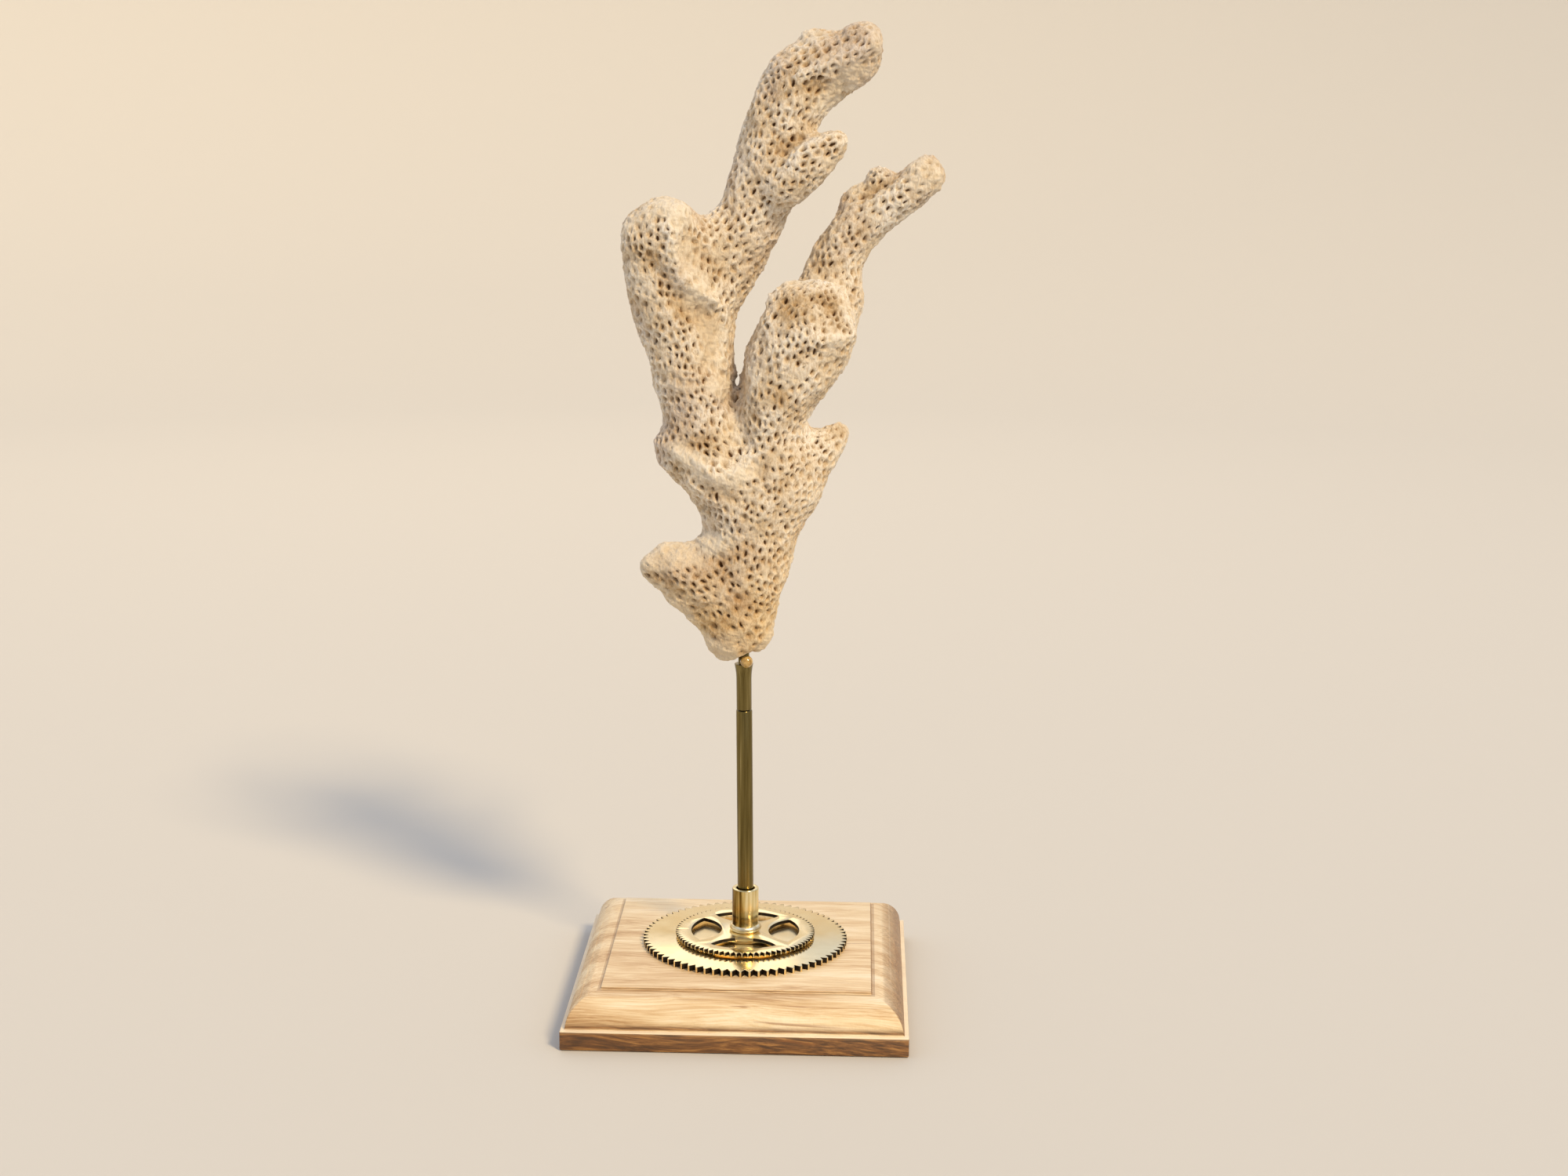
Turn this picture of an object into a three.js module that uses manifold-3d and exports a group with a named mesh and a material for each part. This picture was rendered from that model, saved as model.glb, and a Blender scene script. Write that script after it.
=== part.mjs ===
// Branching coral on a brass rod, with two clock gears and a moulded wood plinth under it.
// Millimetres, +Z up. The front faces -Y and the origin is under the middle of the plinth.
import * as THREE from 'three';
import { mergeVertices } from 'three/addons/utils/BufferGeometryUtils.js';
import Module from 'manifold-3d';

const wasm = await Module();
wasm.setup();

// Clearances
const seam = 0.3;
const shortestEdge = 0.15;
const roundSides = 24;

// Wood plinth: a square plaque with a band, a ledge, a quarter round and a raised panel
const plinthSide = 98;
const bandHeight = 5.6;
const ledgeWidth = 1.3;
const panelInset = 10.6;
const panelHeight = 15;
const panelStep = 0.8;
const bandEase = 0.4;
const quarterRoundSteps = 7;

// Where the gears, the collar and the rod stand on the panel
const stackX = 0.75;
const stackY = 1.4;

// Brass clock gears
const largeGear = { teeth: 72, tipRadius: 30.35, rootRadius: 28.6, thickness: 1.8 };
const smallGear = { teeth: 76, tipRadius: 20.7, rootRadius: 19.3, thickness: 1.1 };
const gearSpacing = 0.65;
const bossRadius = 6.2;
const bossOverlap = 0.4;
const toothTipShare = 0.3;
const windowRimRadius = 16.1;
const windowHubReach = 6.95;
const windowHubArc = 10.8;
const windowCount = 4;

// Brass foot ring and collar
const ringOuterRadius = 4.85;
const ringHeight = 2.1;
const ringClearance = 0.12;
const ringLeastWall = 0.05;
const collarRadius = 3.92;
const collarHeight = 13.3;
const collarBore = 2.75;
const collarFloor = 3;
const collarEdge = 0.35;

// Brass rod, and the slimmer pin that joins it to the coral
const rodRadius = 2.36;
const rodLean = THREE.MathUtils.degToRad(0.79);
const rodTopZ = 86.3;
const rodTopEdge = 0.2;
const pinRadius = 2.22;
const pinMouthRadius = 2.75;
const pinMouthZ = 100.3;
const pinFlare = 5;
const pinSpigotRadius = 1.6;
const pinSpigotLength = 9;
const rodSocketRadius = 1.75;
const rodSocketDepth = 6;
const rodSpigotRadius = 1.4;
const pinHoleDepth = 6;

// Coral: where its foot is, how finely it is meshed and how softly its limbs flow together
const coralFoot = new THREE.Vector3(-0.4, 1.4, 100.5);
const coralCell = 3.8;
const coralLow = [-48, -32, -10];
const coralHigh = [66, 32, 194];
const limbBlend = 5;
const knobBlend = 3;
const valleyBlend = 2.2;
const broadWave = { height: 0.35, x: 0.31, z: 0.2, start: 1.3, acrossY: 0.27, acrossZ: -0.24 };
const closeWave = { height: 0.25, x: -0.4, y: 0.5, z: 0.55 };

// A dab of glue in the notch where the pin meets the coral, measured from the coral's foot
const glueCentre = new THREE.Vector3(1.1, -2.4, 0.9);
const glueRadius = 1.9;

// Heights that follow from the sizes above
const largeGearTop = panelHeight + largeGear.thickness;
const smallGearTop = largeGearTop + gearSpacing + smallGear.thickness;
const collarTop = smallGearTop + collarHeight;

// Materials
const wood = new THREE.MeshStandardMaterial({ color: '#d2a670', roughness: 0.55, metalness: 0 });
const polishedBrass = new THREE.MeshStandardMaterial({ color: '#dcb765', roughness: 0.18, metalness: 1 });
const rodBrass = new THREE.MeshStandardMaterial({ color: '#b79a4c', roughness: 0.25, metalness: 1 });
const coralStone = new THREE.MeshStandardMaterial({ color: '#d9c3a0', roughness: 0.85, metalness: 0 });
const driedGlue = new THREE.MeshStandardMaterial({ color: '#c7a24c', roughness: 0.3, metalness: 0 });

// Closed solids to and from the boolean library
function solidOf(geometry) {
  const bare = geometry.clone();
  bare.deleteAttribute('normal');
  bare.deleteAttribute('uv');
  const merged = mergeVertices(bare, 1e-4);
  return new wasm.Manifold(new wasm.Mesh({
    numProp: 3,
    vertProperties: new Float32Array(merged.attributes.position.array),
    triVerts: new Uint32Array(merged.index.array),
  }));
}

// Cuts leave edges too short to matter, so the points at their ends become one point, and the
// triangles that this flattens, or folds onto each other, go
function geometryOf(solid) {
  const { vertProperties, triVerts, numProp } = solid.getMesh();
  const pointAt = (index) => vertProperties.subarray(index * numProp, index * numProp + 3);
  const stands = Array.from({ length: vertProperties.length / numProp }, (unused, index) => index);
  const standOf = (index) => (stands[index] === index ? index : standOf(stands[index]));
  for (let start = 0; start < triVerts.length; start += 3) {
    for (let corner = 0; corner < 3; corner += 1) {
      const a = triVerts[start + corner];
      const b = triVerts[start + ((corner + 1) % 3)];
      const [p, q] = [pointAt(a), pointAt(b)];
      if (Math.hypot(p[0] - q[0], p[1] - q[1], p[2] - q[2]) < shortestEdge) stands[standOf(b)] = standOf(a);
    }
  }
  const faces = new Map();
  for (let start = 0; start < triVerts.length; start += 3) {
    const face = [0, 1, 2].map((corner) => standOf(triVerts[start + corner]));
    if (new Set(face).size === 3) {
      const key = [...face].sort((a, b) => a - b).join();
      if (faces.has(key)) faces.delete(key);
      else faces.set(key, face);
    }
  }
  const geometry = new THREE.BufferGeometry();
  geometry.setAttribute('position', new THREE.BufferAttribute(vertProperties, numProp));
  geometry.setIndex([...faces.values()].flat());
  return mergeVertices(geometry, 1e-5);
}

function named(name, geometry, material) {
  const mesh = new THREE.Mesh(geometry, material);
  mesh.name = name;
  return mesh;
}

// A turned solid about +Z from a profile of radius and height
function turned(profile, sides = roundSides) {
  const points = profile.map(([radius, height]) => new THREE.Vector2(radius, height));
  return new THREE.LatheGeometry(points, sides).rotateX(Math.PI / 2);
}

// The plinth's moulding is one profile turned in four steps, which mitres its corners
function plinthProfile() {
  const halfSide = plinthSide / 2;
  const roundBase = halfSide - ledgeWidth;
  const roundTop = halfSide - panelInset;
  const roundRise = panelHeight - panelStep - bandHeight;
  const profile = [
    [0, 0],
    [halfSide, 0],
    [halfSide, bandHeight - bandEase],
    [halfSide - bandEase, bandHeight],
  ];
  for (let step = 0; step <= quarterRoundSteps; step += 1) {
    const angle = (step / quarterRoundSteps) * (Math.PI / 2);
    profile.push([
      roundTop + (roundBase - roundTop) * Math.cos(angle),
      bandHeight + roundRise * Math.sin(angle),
    ]);
  }
  profile.push([roundTop, panelHeight], [0, panelHeight]);
  return profile;
}

function plinthGeometry() {
  const corner = Math.SQRT2;
  const profile = plinthProfile().map(([reach, height]) => [reach * corner, height]);
  return turned(profile, 4).rotateZ(Math.PI / 4);
}

// A gear blank: one outline with a narrow flat tip on every tooth and a V between the teeth
function gearShape({ teeth, tipRadius, rootRadius }) {
  const pitch = (2 * Math.PI) / teeth;
  const tipHalf = (toothTipShare / 2) * pitch;
  const shape = new THREE.Shape();
  for (let tooth = 0; tooth < teeth; tooth += 1) {
    const middle = -Math.PI / 2 + tooth * pitch;
    const corners = [
      [rootRadius, middle - pitch / 2],
      [tipRadius, middle - tipHalf],
      [tipRadius, middle + tipHalf],
    ];
    corners.forEach(([radius, angle], index) => {
      const x = radius * Math.cos(angle);
      const y = radius * Math.sin(angle);
      if (tooth === 0 && index === 0) shape.moveTo(x, y);
      else shape.lineTo(x, y);
    });
  }
  shape.closePath();
  return shape;
}

// A lens-shaped window between a spoke and the next, on the axis that the angle gives
function windowPath(angle) {
  const arcCentre = windowHubReach + windowHubArc;
  const reachCosine = (windowRimRadius ** 2 + arcCentre ** 2 - windowHubArc ** 2)
    / (2 * windowRimRadius * arcCentre);
  const half = Math.acos(reachCosine);
  const tipX = windowRimRadius * Math.cos(half) - arcCentre;
  const tipY = windowRimRadius * Math.sin(half);
  const hubHalf = Math.atan2(tipY, -tipX);
  const path = new THREE.Path();
  const rimSteps = 5;
  const hubSteps = 7;
  for (let step = 0; step <= rimSteps; step += 1) {
    const turn = angle - half + (2 * half * step) / rimSteps;
    const x = windowRimRadius * Math.cos(turn);
    const y = windowRimRadius * Math.sin(turn);
    if (step === 0) path.moveTo(x, y);
    else path.lineTo(x, y);
  }
  for (let step = 1; step < hubSteps; step += 1) {
    const turn = Math.PI - hubHalf + (2 * hubHalf * step) / hubSteps;
    const along = arcCentre + windowHubArc * Math.cos(turn);
    const across = windowHubArc * Math.sin(turn);
    path.lineTo(
      along * Math.cos(angle) - across * Math.sin(angle),
      along * Math.sin(angle) + across * Math.cos(angle),
    );
  }
  path.closePath();
  return path;
}

function largeGearGeometry() {
  const plate = { depth: largeGear.thickness, bevelEnabled: false };
  return new THREE.ExtrudeGeometry(gearShape(largeGear), plate);
}

// The small gear stands on a round boss of its own, so that it clears the large one
function smallGearGeometry() {
  const shape = gearShape(smallGear);
  for (let index = 0; index < windowCount; index += 1) {
    shape.holes.push(windowPath((index * 2 * Math.PI) / windowCount));
  }
  const plate = new THREE.ExtrudeGeometry(shape, { depth: smallGear.thickness, bevelEnabled: false });
  plate.translate(0, 0, gearSpacing);
  const bossTop = gearSpacing + bossOverlap;
  const boss = turned([[0, 0], [bossRadius, 0], [bossRadius, bossTop], [0, bossTop]]);
  return geometryOf(solidOf(plate).add(solidOf(boss)));
}

// The ring is a half-round bead that lies around the collar's foot
function footRingGeometry() {
  const inner = collarRadius + ringClearance;
  const beadRadius = ringHeight / 2;
  const middle = ringOuterRadius - beadRadius;
  const profile = [[inner, ringHeight], [inner, 0]];
  const steps = 6;
  for (let step = 0; step <= steps; step += 1) {
    const angle = -Math.PI / 2 + (step / steps) * Math.PI;
    profile.push([
      Math.max(middle + beadRadius * Math.cos(angle), inner + ringLeastWall),
      beadRadius + beadRadius * Math.sin(angle),
    ]);
  }
  profile.push([inner, ringHeight]);
  return turned(profile);
}

function collarGeometry() {
  return turned([
    [0, 0],
    [collarRadius, 0],
    [collarRadius, collarHeight - collarEdge],
    [collarRadius - collarEdge, collarHeight],
    [collarBore + collarEdge, collarHeight],
    [collarBore, collarHeight - collarEdge],
    [collarBore, collarFloor],
    [0, collarFloor],
  ]);
}

// The rod runs from the collar's floor up to the joint, with a socket in its top for the pin
function rodGeometry() {
  const foot = smallGearTop + collarFloor + seam - collarTop;
  const top = rodTopZ - collarTop;
  return turned([
    [0, foot],
    [rodRadius, foot],
    [rodRadius, top - rodTopEdge],
    [rodRadius - rodTopEdge, top],
    [rodSocketRadius, top],
    [rodSocketRadius, top - rodSocketDepth],
    [0, top - rodSocketDepth],
  ]);
}

// The pin has a spigot at each end, and its upper end opens a little where it meets the coral
function pinGeometry() {
  const foot = rodTopZ + seam - collarTop;
  const mouth = pinMouthZ - collarTop;
  return turned([
    [0, foot - rodSocketDepth + 2 * seam],
    [rodSpigotRadius, foot - rodSocketDepth + 2 * seam],
    [rodSpigotRadius, foot],
    [pinRadius, foot],
    [pinRadius, mouth - pinFlare],
    [(pinRadius + pinMouthRadius) / 2, mouth - pinFlare / 3],
    [pinMouthRadius, mouth],
    [pinSpigotRadius, mouth],
    [pinSpigotRadius, mouth + pinSpigotLength],
    [0, mouth + pinSpigotLength],
  ]);
}

// Coral limbs, as chains of stations along each one's middle line. A station is
// [x, y, z, half width, half depth], measured from the coral's foot.
const limbs = {
  foot: [[-3.8, 0, 7, 7, 6.6], [-2.2, 0, 14, 10.6, 8.6], [-0.2, 0, 24, 11.7, 10], [1.2, 0, 33, 11.8, 10.6]],
  trunk: [[1.6, 0, 33, 11.8, 10.6], [2.6, 0, 42, 13.4, 11.6], [2.6, 0, 50, 16, 12.4]],
  trunkLeft: [[0.8, 0, 46, 11, 12], [-7.8, -1, 58.8, 12, 12.5], [-12.4, -1, 70, 10.4, 12], [-15.2, -1, 82, 9, 11]],
  trunkRight: [[5, 0, 46, 12.4, 12], [8.4, -1, 58, 12, 12.5], [6.6, -1, 70, 9, 12], [9, -2, 80, 8.8, 12]],
  leftSpur: [[-3, 0, 15, 9, 8], [-12, -2, 25, 11.4, 9], [-20, -3, 28.8, 7.4, 7.4], [-25.4, -3.5, 29, 4.9, 5.4]],
  rightSpur: [[12, 0, 52, 9.6, 9], [20, 2, 60.6, 7, 7], [26.9, 3, 67.4, 4.2, 4.4]],
  leftShoulder: [[-10, -2, 60, 8.4, 9], [-17.6, -3, 62.6, 8, 8]],
  leftLobe: [[-15.6, -1, 82, 9.6, 11], [-18.6, -3, 97, 11, 11], [-22.8, -5, 111, 11, 10], [-24.2, -7, 122.8, 10.8, 10]],
  lobeKnuckle: [[-20.5, -9, 128.2, 6.8, 6.4]],
  tallShoulder: [[-2.4, 3, 126.2, 6.6, 7.4]],
  lobeSaddle: [[-15.5, -2.5, 113, 8.5, 8.5], [-12.4, -1, 121, 7.2, 7.5]],
  tallBranch: [
    [-11.3, 3, 88, 8.2, 9], [-11, 4, 101, 7.8, 9.5], [-6.8, 5, 114, 9.6, 9.5], [0.8, 4, 127.5, 9.8, 9.5],
    [5.2, 3, 141, 9.6, 9.5], [8.9, 3, 154, 10, 9.5], [14.4, 3, 165.2, 10.8, 9.5], [26, 2, 171.6, 8.2, 8.2],
    [31, 1, 175, 7.2, 7.2],
  ],
  tallTipLeft: [[18.9, 4, 176.4, 5.2, 5.4]],
  tallTipRight: [[32.2, 0, 177.4, 5.8, 6]],
  tallHeel: [[29.5, 0, 170.4, 6, 6]],
  finger: [[12, -4, 138.6, 6.8, 7], [18.4, -6, 144, 5.8, 6], [24.8, -6, 149.4, 4.8, 4.8]],
  fingerHeel: [[18.8, -4, 140.2, 3.8, 4]],
  middleLobe: [[8.6, -2, 76, 8.8, 11.5], [13.6, -4, 88.6, 13.5, 12.5], [17.4, -6, 98, 13.2, 11]],
  lobeRim: [[14.4, -8, 104.2, 5.4, 5.6], [21, -8, 104.4, 6, 5.6], [25.8, -8, 97.4, 5, 5.2], [26.3, -7, 91.4, 4.2, 4.6]],
  rightBranch: [
    [20, 5, 95, 10.4, 9], [23.8, 6, 106, 10.4, 8.6], [24.8, 7, 114, 8.4, 8.2], [29.2, 7, 123.2, 7.3, 7.4],
    [35.8, 6, 130, 6.9, 7], [43.6, 5, 134.6, 5.8, 6.4], [50.2, 4, 140.2, 6.3, 6.4],
  ],
  rightKnobHigh: [[37.2, 9, 138.8, 4.2, 4.6]],
  rightKnobLow: [[30.8, 9, 132.6, 4.8, 4.6]],
  footRight: [[4, 0.5, 8.4, 5.4, 5.6]],
  patchLip: [[-19, -9, 60.6, 3.4, 3.2], [-7, -11.4, 53.8, 3.2, 3.2], [1, -11.6, 57.6, 2.6, 2.6]],
};

const knobs = new Set([
  'lobeKnuckle', 'tallTipLeft', 'tallTipRight', 'tallHeel', 'fingerHeel', 'lobeRim', 'rightKnobHigh',
  'rightKnobLow', 'leftShoulder', 'footRight', 'tallShoulder', 'patchLip',
]);

const rightLimbs = new Set(['trunkRight', 'middleLobe', 'rightBranch', 'rightSpur']);

// Distance from a point to one limb's skin, below zero inside
function limbDistance(stations, x, y, z) {
  let nearest = Infinity;
  const last = Math.max(stations.length - 1, 1);
  for (let index = 0; index < last; index += 1) {
    const a = stations[index];
    const b = stations[index + 1] ?? a;
    const ab = [b[0] - a[0], b[1] - a[1], b[2] - a[2]];
    const span = ab[0] ** 2 + ab[1] ** 2 + ab[2] ** 2;
    const dot = (x - a[0]) * ab[0] + (y - a[1]) * ab[1] + (z - a[2]) * ab[2];
    const t = span > 0 ? Math.min(Math.max(dot / span, 0), 1) : 0;
    const width = a[3] + (b[3] - a[3]) * t;
    const depth = a[4] + (b[4] - a[4]) * t;
    const dx = x - a[0] - ab[0] * t;
    const dy = ((y - a[1] - ab[1] * t) * width) / depth;
    const dz = z - a[2] - ab[2] * t;
    nearest = Math.min(nearest, Math.hypot(dx, dy, dz) - width);
  }
  return nearest;
}

function softMin(a, b, softness) {
  const overlap = Math.max(softness - Math.abs(a - b), 0) / softness;
  return Math.min(a, b) - overlap * overlap * softness * 0.25;
}

// Low waves that keep the limbs from looking turned
function lumps(x, y, z) {
  const across = Math.cos(broadWave.acrossY * y + broadWave.acrossZ * z);
  return broadWave.height * Math.sin(broadWave.x * x + broadWave.z * z + broadWave.start) * across
    + closeWave.height * Math.sin(closeWave.x * x + closeWave.y * y + closeWave.z * z);
}

function coralField(x, y, z) {
  const groups = { left: Infinity, right: Infinity };
  let knobDistance = Infinity;
  for (const [name, stations] of Object.entries(limbs)) {
    const distance = limbDistance(stations, x, y, z);
    if (knobs.has(name)) knobDistance = Math.min(knobDistance, distance);
    else if (rightLimbs.has(name)) groups.right = softMin(groups.right, distance, limbBlend);
    else groups.left = softMin(groups.left, distance, limbBlend);
  }
  const stem = softMin(groups.left, groups.right, valleyBlend);
  return softMin(stem, knobDistance, knobBlend) + lumps(x, y, z);
}

// Slope of the field, for stepping a point onto the skin
function fieldSlope(field, x, y, z) {
  const step = 0.2;
  return [
    (field(x + step, y, z) - field(x - step, y, z)) / (2 * step),
    (field(x, y + step, z) - field(x, y - step, z)) / (2 * step),
    (field(x, y, z + step) - field(x, y, z - step)) / (2 * step),
  ];
}

// A closed skin around the field's inside: one point in each crossed cell, one quad on each crossed edge
function skinGeometry(field, low, high, cell) {
  const counts = low.map((start, axis) => Math.ceil((high[axis] - start) / cell) + 1);
  const strideY = counts[0];
  const strideZ = counts[0] * counts[1];
  const at = (i, j, k) => i + j * strideY + k * strideZ;
  const place = (i, j, k) => [low[0] + i * cell, low[1] + j * cell, low[2] + k * cell];
  const values = new Float64Array(strideZ * counts[2]);
  for (let k = 0; k < counts[2]; k += 1) {
    for (let j = 0; j < counts[1]; j += 1) {
      for (let i = 0; i < counts[0]; i += 1) values[at(i, j, k)] = field(...place(i, j, k));
    }
  }
  const pointOf = new Int32Array(values.length).fill(-1);
  const points = [];
  for (let k = 0; k < counts[2] - 1; k += 1) {
    for (let j = 0; j < counts[1] - 1; j += 1) {
      for (let i = 0; i < counts[0] - 1; i += 1) {
        const point = cellPoint(values, at, place, i, j, k);
        if (point) {
          pointOf[at(i, j, k)] = points.length;
          points.push(settle(field, point, cell));
        }
      }
    }
  }
  const triangles = [];
  const strides = [1, strideY, strideZ];
  for (let k = 1; k < counts[2] - 1; k += 1) {
    for (let j = 1; j < counts[1] - 1; j += 1) {
      for (let i = 1; i < counts[0] - 1; i += 1) {
        for (let axis = 0; axis < 3; axis += 1) {
          const here = at(i, j, k);
          const inside = values[here] < 0;
          if (inside !== values[here + strides[axis]] < 0) {
            const u = strides[(axis + 1) % 3];
            const v = strides[(axis + 2) % 3];
            const ring = [here - u - v, here - v, here, here - u].map((index) => pointOf[index]);
            if (!inside) ring.reverse();
            pushQuad(triangles, points, ring);
          }
        }
      }
    }
  }
  const geometry = new THREE.BufferGeometry();
  geometry.setAttribute('position', new THREE.Float32BufferAttribute(points.flat(), 3));
  geometry.setIndex(triangles);
  return geometry;
}

// The mean of the places where the skin crosses a cell's edges, or null where it crosses none
function cellPoint(values, at, place, i, j, k) {
  const sum = [0, 0, 0];
  let crossings = 0;
  for (let corner = 0; corner < 8; corner += 1) {
    const start = [corner & 1, (corner >> 1) & 1, corner >> 2];
    for (let axis = 0; axis < 3; axis += 1) {
      if (start[axis] === 0) {
        const end = start.slice();
        end[axis] = 1;
        const a = values[at(i + start[0], j + start[1], k + start[2])];
        const b = values[at(i + end[0], j + end[1], k + end[2])];
        if (a < 0 !== b < 0) {
          const p = place(i + start[0], j + start[1], k + start[2]);
          const q = place(i + end[0], j + end[1], k + end[2]);
          const t = a / (a - b);
          for (let part = 0; part < 3; part += 1) sum[part] += p[part] + (q[part] - p[part]) * t;
          crossings += 1;
        }
      }
    }
  }
  return crossings > 0 ? sum.map((value) => value / crossings) : null;
}

// Two short steps down the slope put a point on the skin itself
function settle(field, point, cell) {
  let [x, y, z] = point;
  for (let pass = 0; pass < 2; pass += 1) {
    const value = field(x, y, z);
    const slope = fieldSlope(field, x, y, z);
    const steep = slope[0] ** 2 + slope[1] ** 2 + slope[2] ** 2;
    const move = THREE.MathUtils.clamp(value / Math.max(steep, 0.3), -cell / 4, cell / 4);
    x -= slope[0] * move;
    y -= slope[1] * move;
    z -= slope[2] * move;
  }
  return [x, y, z];
}

// A quad is split along its shorter diagonal
function pushQuad(triangles, points, ring) {
  const gap = (a, b) => Math.hypot(...points[a].map((value, part) => value - points[b][part]));
  const [a, b, c, d] = ring;
  if (gap(a, c) < gap(b, d)) triangles.push(a, b, c, a, c, d);
  else triangles.push(a, b, d, b, c, d);
}

// Cuts at the main forks, as front-view outlines of x and z that hold everything beyond the fork.
// The pull moves the outline back a seam's width for what stays behind.
const forks = [
  {
    from: 'coral_trunk',
    name: 'coral_left_lobe',
    outline: [
      [-40, 71], [-3.6, 79.2], [-2.9, 83], [-2.1, 88.5], [-1, 95], [1.6, 103], [9.5, 112.6],
      [18, 125], [25.7, 139], [33, 145.4], [60, 160], [60, 200], [-50, 200], [-50, 71],
    ],
    pull: [0.1, -seam],
  },
  {
    from: 'coral_left_lobe',
    name: 'coral_tall_branch',
    outline: [[0.5, 101], [-10.6, 130.6], [-14, 140], [-14, 200], [60, 200], [60, 101]],
    pull: [-seam, -0.1],
  },
  {
    from: 'coral_tall_branch',
    name: 'coral_finger',
    outline: [[18.4, 133], [20.6, 153.2], [26, 156], [36, 156.4], [36, 133]],
    pull: [-seam, 0],
  },
  {
    from: 'coral_trunk',
    name: 'coral_middle_lobe',
    outline: [[-3.6, 79.2], [21, 72.4], [70, 73], [70, 160], [20, 160], [-8, 90]],
    pull: [0, -seam],
  },
  {
    from: 'coral_middle_lobe',
    name: 'coral_right_branch',
    outline: [[8, 114.6], [38, 99.4], [80, 99.4], [80, 160], [8, 160]],
    pull: [0, -seam],
  },
  {
    from: 'coral_trunk',
    name: 'coral_right_spur',
    outline: [[19.4, 72.2], [24.6, 53], [40, 53], [40, 72.2]],
    pull: [-seam, 0],
  },
  {
    from: 'coral_trunk',
    name: 'coral_left_spur',
    outline: [[-11.4, 40], [-13.4, 5], [-40, 5], [-40, 40]],
    pull: [seam, 0],
  },
];

// A front-view outline pushed right through the coral's depth
function throughCut(outline, pull = [0, 0]) {
  const reach = 60;
  const shape = new THREE.Shape(outline.map(([x, z]) => new THREE.Vector2(x + pull[0], z + pull[1])));
  const prism = new THREE.ExtrudeGeometry(shape, { depth: 2 * reach, bevelEnabled: false });
  return solidOf(prism.translate(0, 0, -reach).rotateX(Math.PI / 2));
}

function coralPieces() {
  const skin = skinGeometry(coralField, coralLow, coralHigh, coralCell);
  const pieces = { coral_trunk: solidOf(skin).subtract(pinHole()) };
  for (const { from, name, outline, pull } of forks) {
    pieces[name] = pieces[from].intersect(throughCut(outline));
    pieces[from] = pieces[from].subtract(throughCut(outline, pull));
  }
  return pieces;
}

// The dab fills the notch and stops a seam short of the coral and the pin
function glueGeometry(trunk) {
  const drop = solidOf(new THREE.SphereGeometry(glueRadius, 12, 8).translate(...glueCentre));
  const nearTrunk = solidOf(geometryOf(trunk).translate(0, -seam, -seam));
  return geometryOf(drop.subtract(trunk).subtract(nearTrunk).subtract(pinHole()));
}

// The upper line of the rod and pin, from the collar's mouth
function leaning(geometry) {
  return geometry.rotateY(-rodLean).translate(stackX, stackY, collarTop);
}

// The hole that the pin's spigot and mouth enter, seen from the coral's foot
function pinHole() {
  const mouth = pinMouthZ - collarTop;
  const hole = turned([
    [0, mouth - pinHoleDepth],
    [pinMouthRadius + seam, mouth - pinHoleDepth],
    [pinMouthRadius + seam, mouth + seam],
    [pinSpigotRadius + seam, mouth + seam],
    [pinSpigotRadius + seam, mouth + pinSpigotLength + seam],
    [0, mouth + pinSpigotLength + seam],
  ]);
  return solidOf(leaning(hole).translate(-coralFoot.x, -coralFoot.y, -coralFoot.z));
}

// Assembly
const coralOnStand = new THREE.Group();
coralOnStand.add(named('wood_plinth', plinthGeometry(), wood));

const stack = new THREE.Group();
stack.position.set(stackX, stackY, panelHeight);
const gearOnPanel = named('large_gear', largeGearGeometry(), polishedBrass);
const gearAbove = named('small_gear', smallGearGeometry(), polishedBrass);
gearAbove.position.z = largeGear.thickness;
const ring = named('foot_ring', footRingGeometry(), polishedBrass);
ring.position.z = smallGearTop - panelHeight;
const collar = named('rod_collar', collarGeometry(), polishedBrass);
collar.position.z = smallGearTop - panelHeight;
stack.add(gearOnPanel, gearAbove, ring, collar);
coralOnStand.add(stack);

coralOnStand.add(named('support_rod', leaning(rodGeometry()), rodBrass));
coralOnStand.add(named('coral_pin', leaning(pinGeometry()), rodBrass));

const coral = new THREE.Group();
coral.position.copy(coralFoot);
const pieces = coralPieces();
for (const [name, solid] of Object.entries(pieces)) {
  coral.add(named(name, geometryOf(solid), coralStone));
}
coral.add(named('glue_dab', glueGeometry(pieces.coral_trunk), driedGlue));
coralOnStand.add(coral);

export default coralOnStand;
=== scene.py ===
"""Branching coral on a brass rod, two clock gears and a moulded wood plinth, dressed over its CAD frame."""

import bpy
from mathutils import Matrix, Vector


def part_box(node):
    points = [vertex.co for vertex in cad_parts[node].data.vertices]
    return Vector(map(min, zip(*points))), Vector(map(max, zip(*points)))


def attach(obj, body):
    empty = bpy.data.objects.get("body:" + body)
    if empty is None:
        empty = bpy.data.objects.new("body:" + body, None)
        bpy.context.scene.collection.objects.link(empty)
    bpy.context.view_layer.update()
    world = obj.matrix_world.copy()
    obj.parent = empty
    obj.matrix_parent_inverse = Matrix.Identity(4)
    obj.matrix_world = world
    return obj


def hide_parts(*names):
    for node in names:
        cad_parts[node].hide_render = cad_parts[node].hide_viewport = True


bl_info = {
    "name": "Coral on a Brass Stand",
    "version": (1, 0, 0),
    "blender": (4, 5, 0),
    "location": "View3D > Sidebar > Coral",
    "description": "Builds the pored coral, its brass stand, the wood plinth and the studio around them",
    "category": "Object",
}

import math

import bmesh
import bpy
import numpy as np
from bpy.props import FloatProperty, FloatVectorProperty, IntProperty, PointerProperty
from mathutils import Matrix, Vector, kdtree
from mathutils.bvhtree import BVHTree

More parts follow.
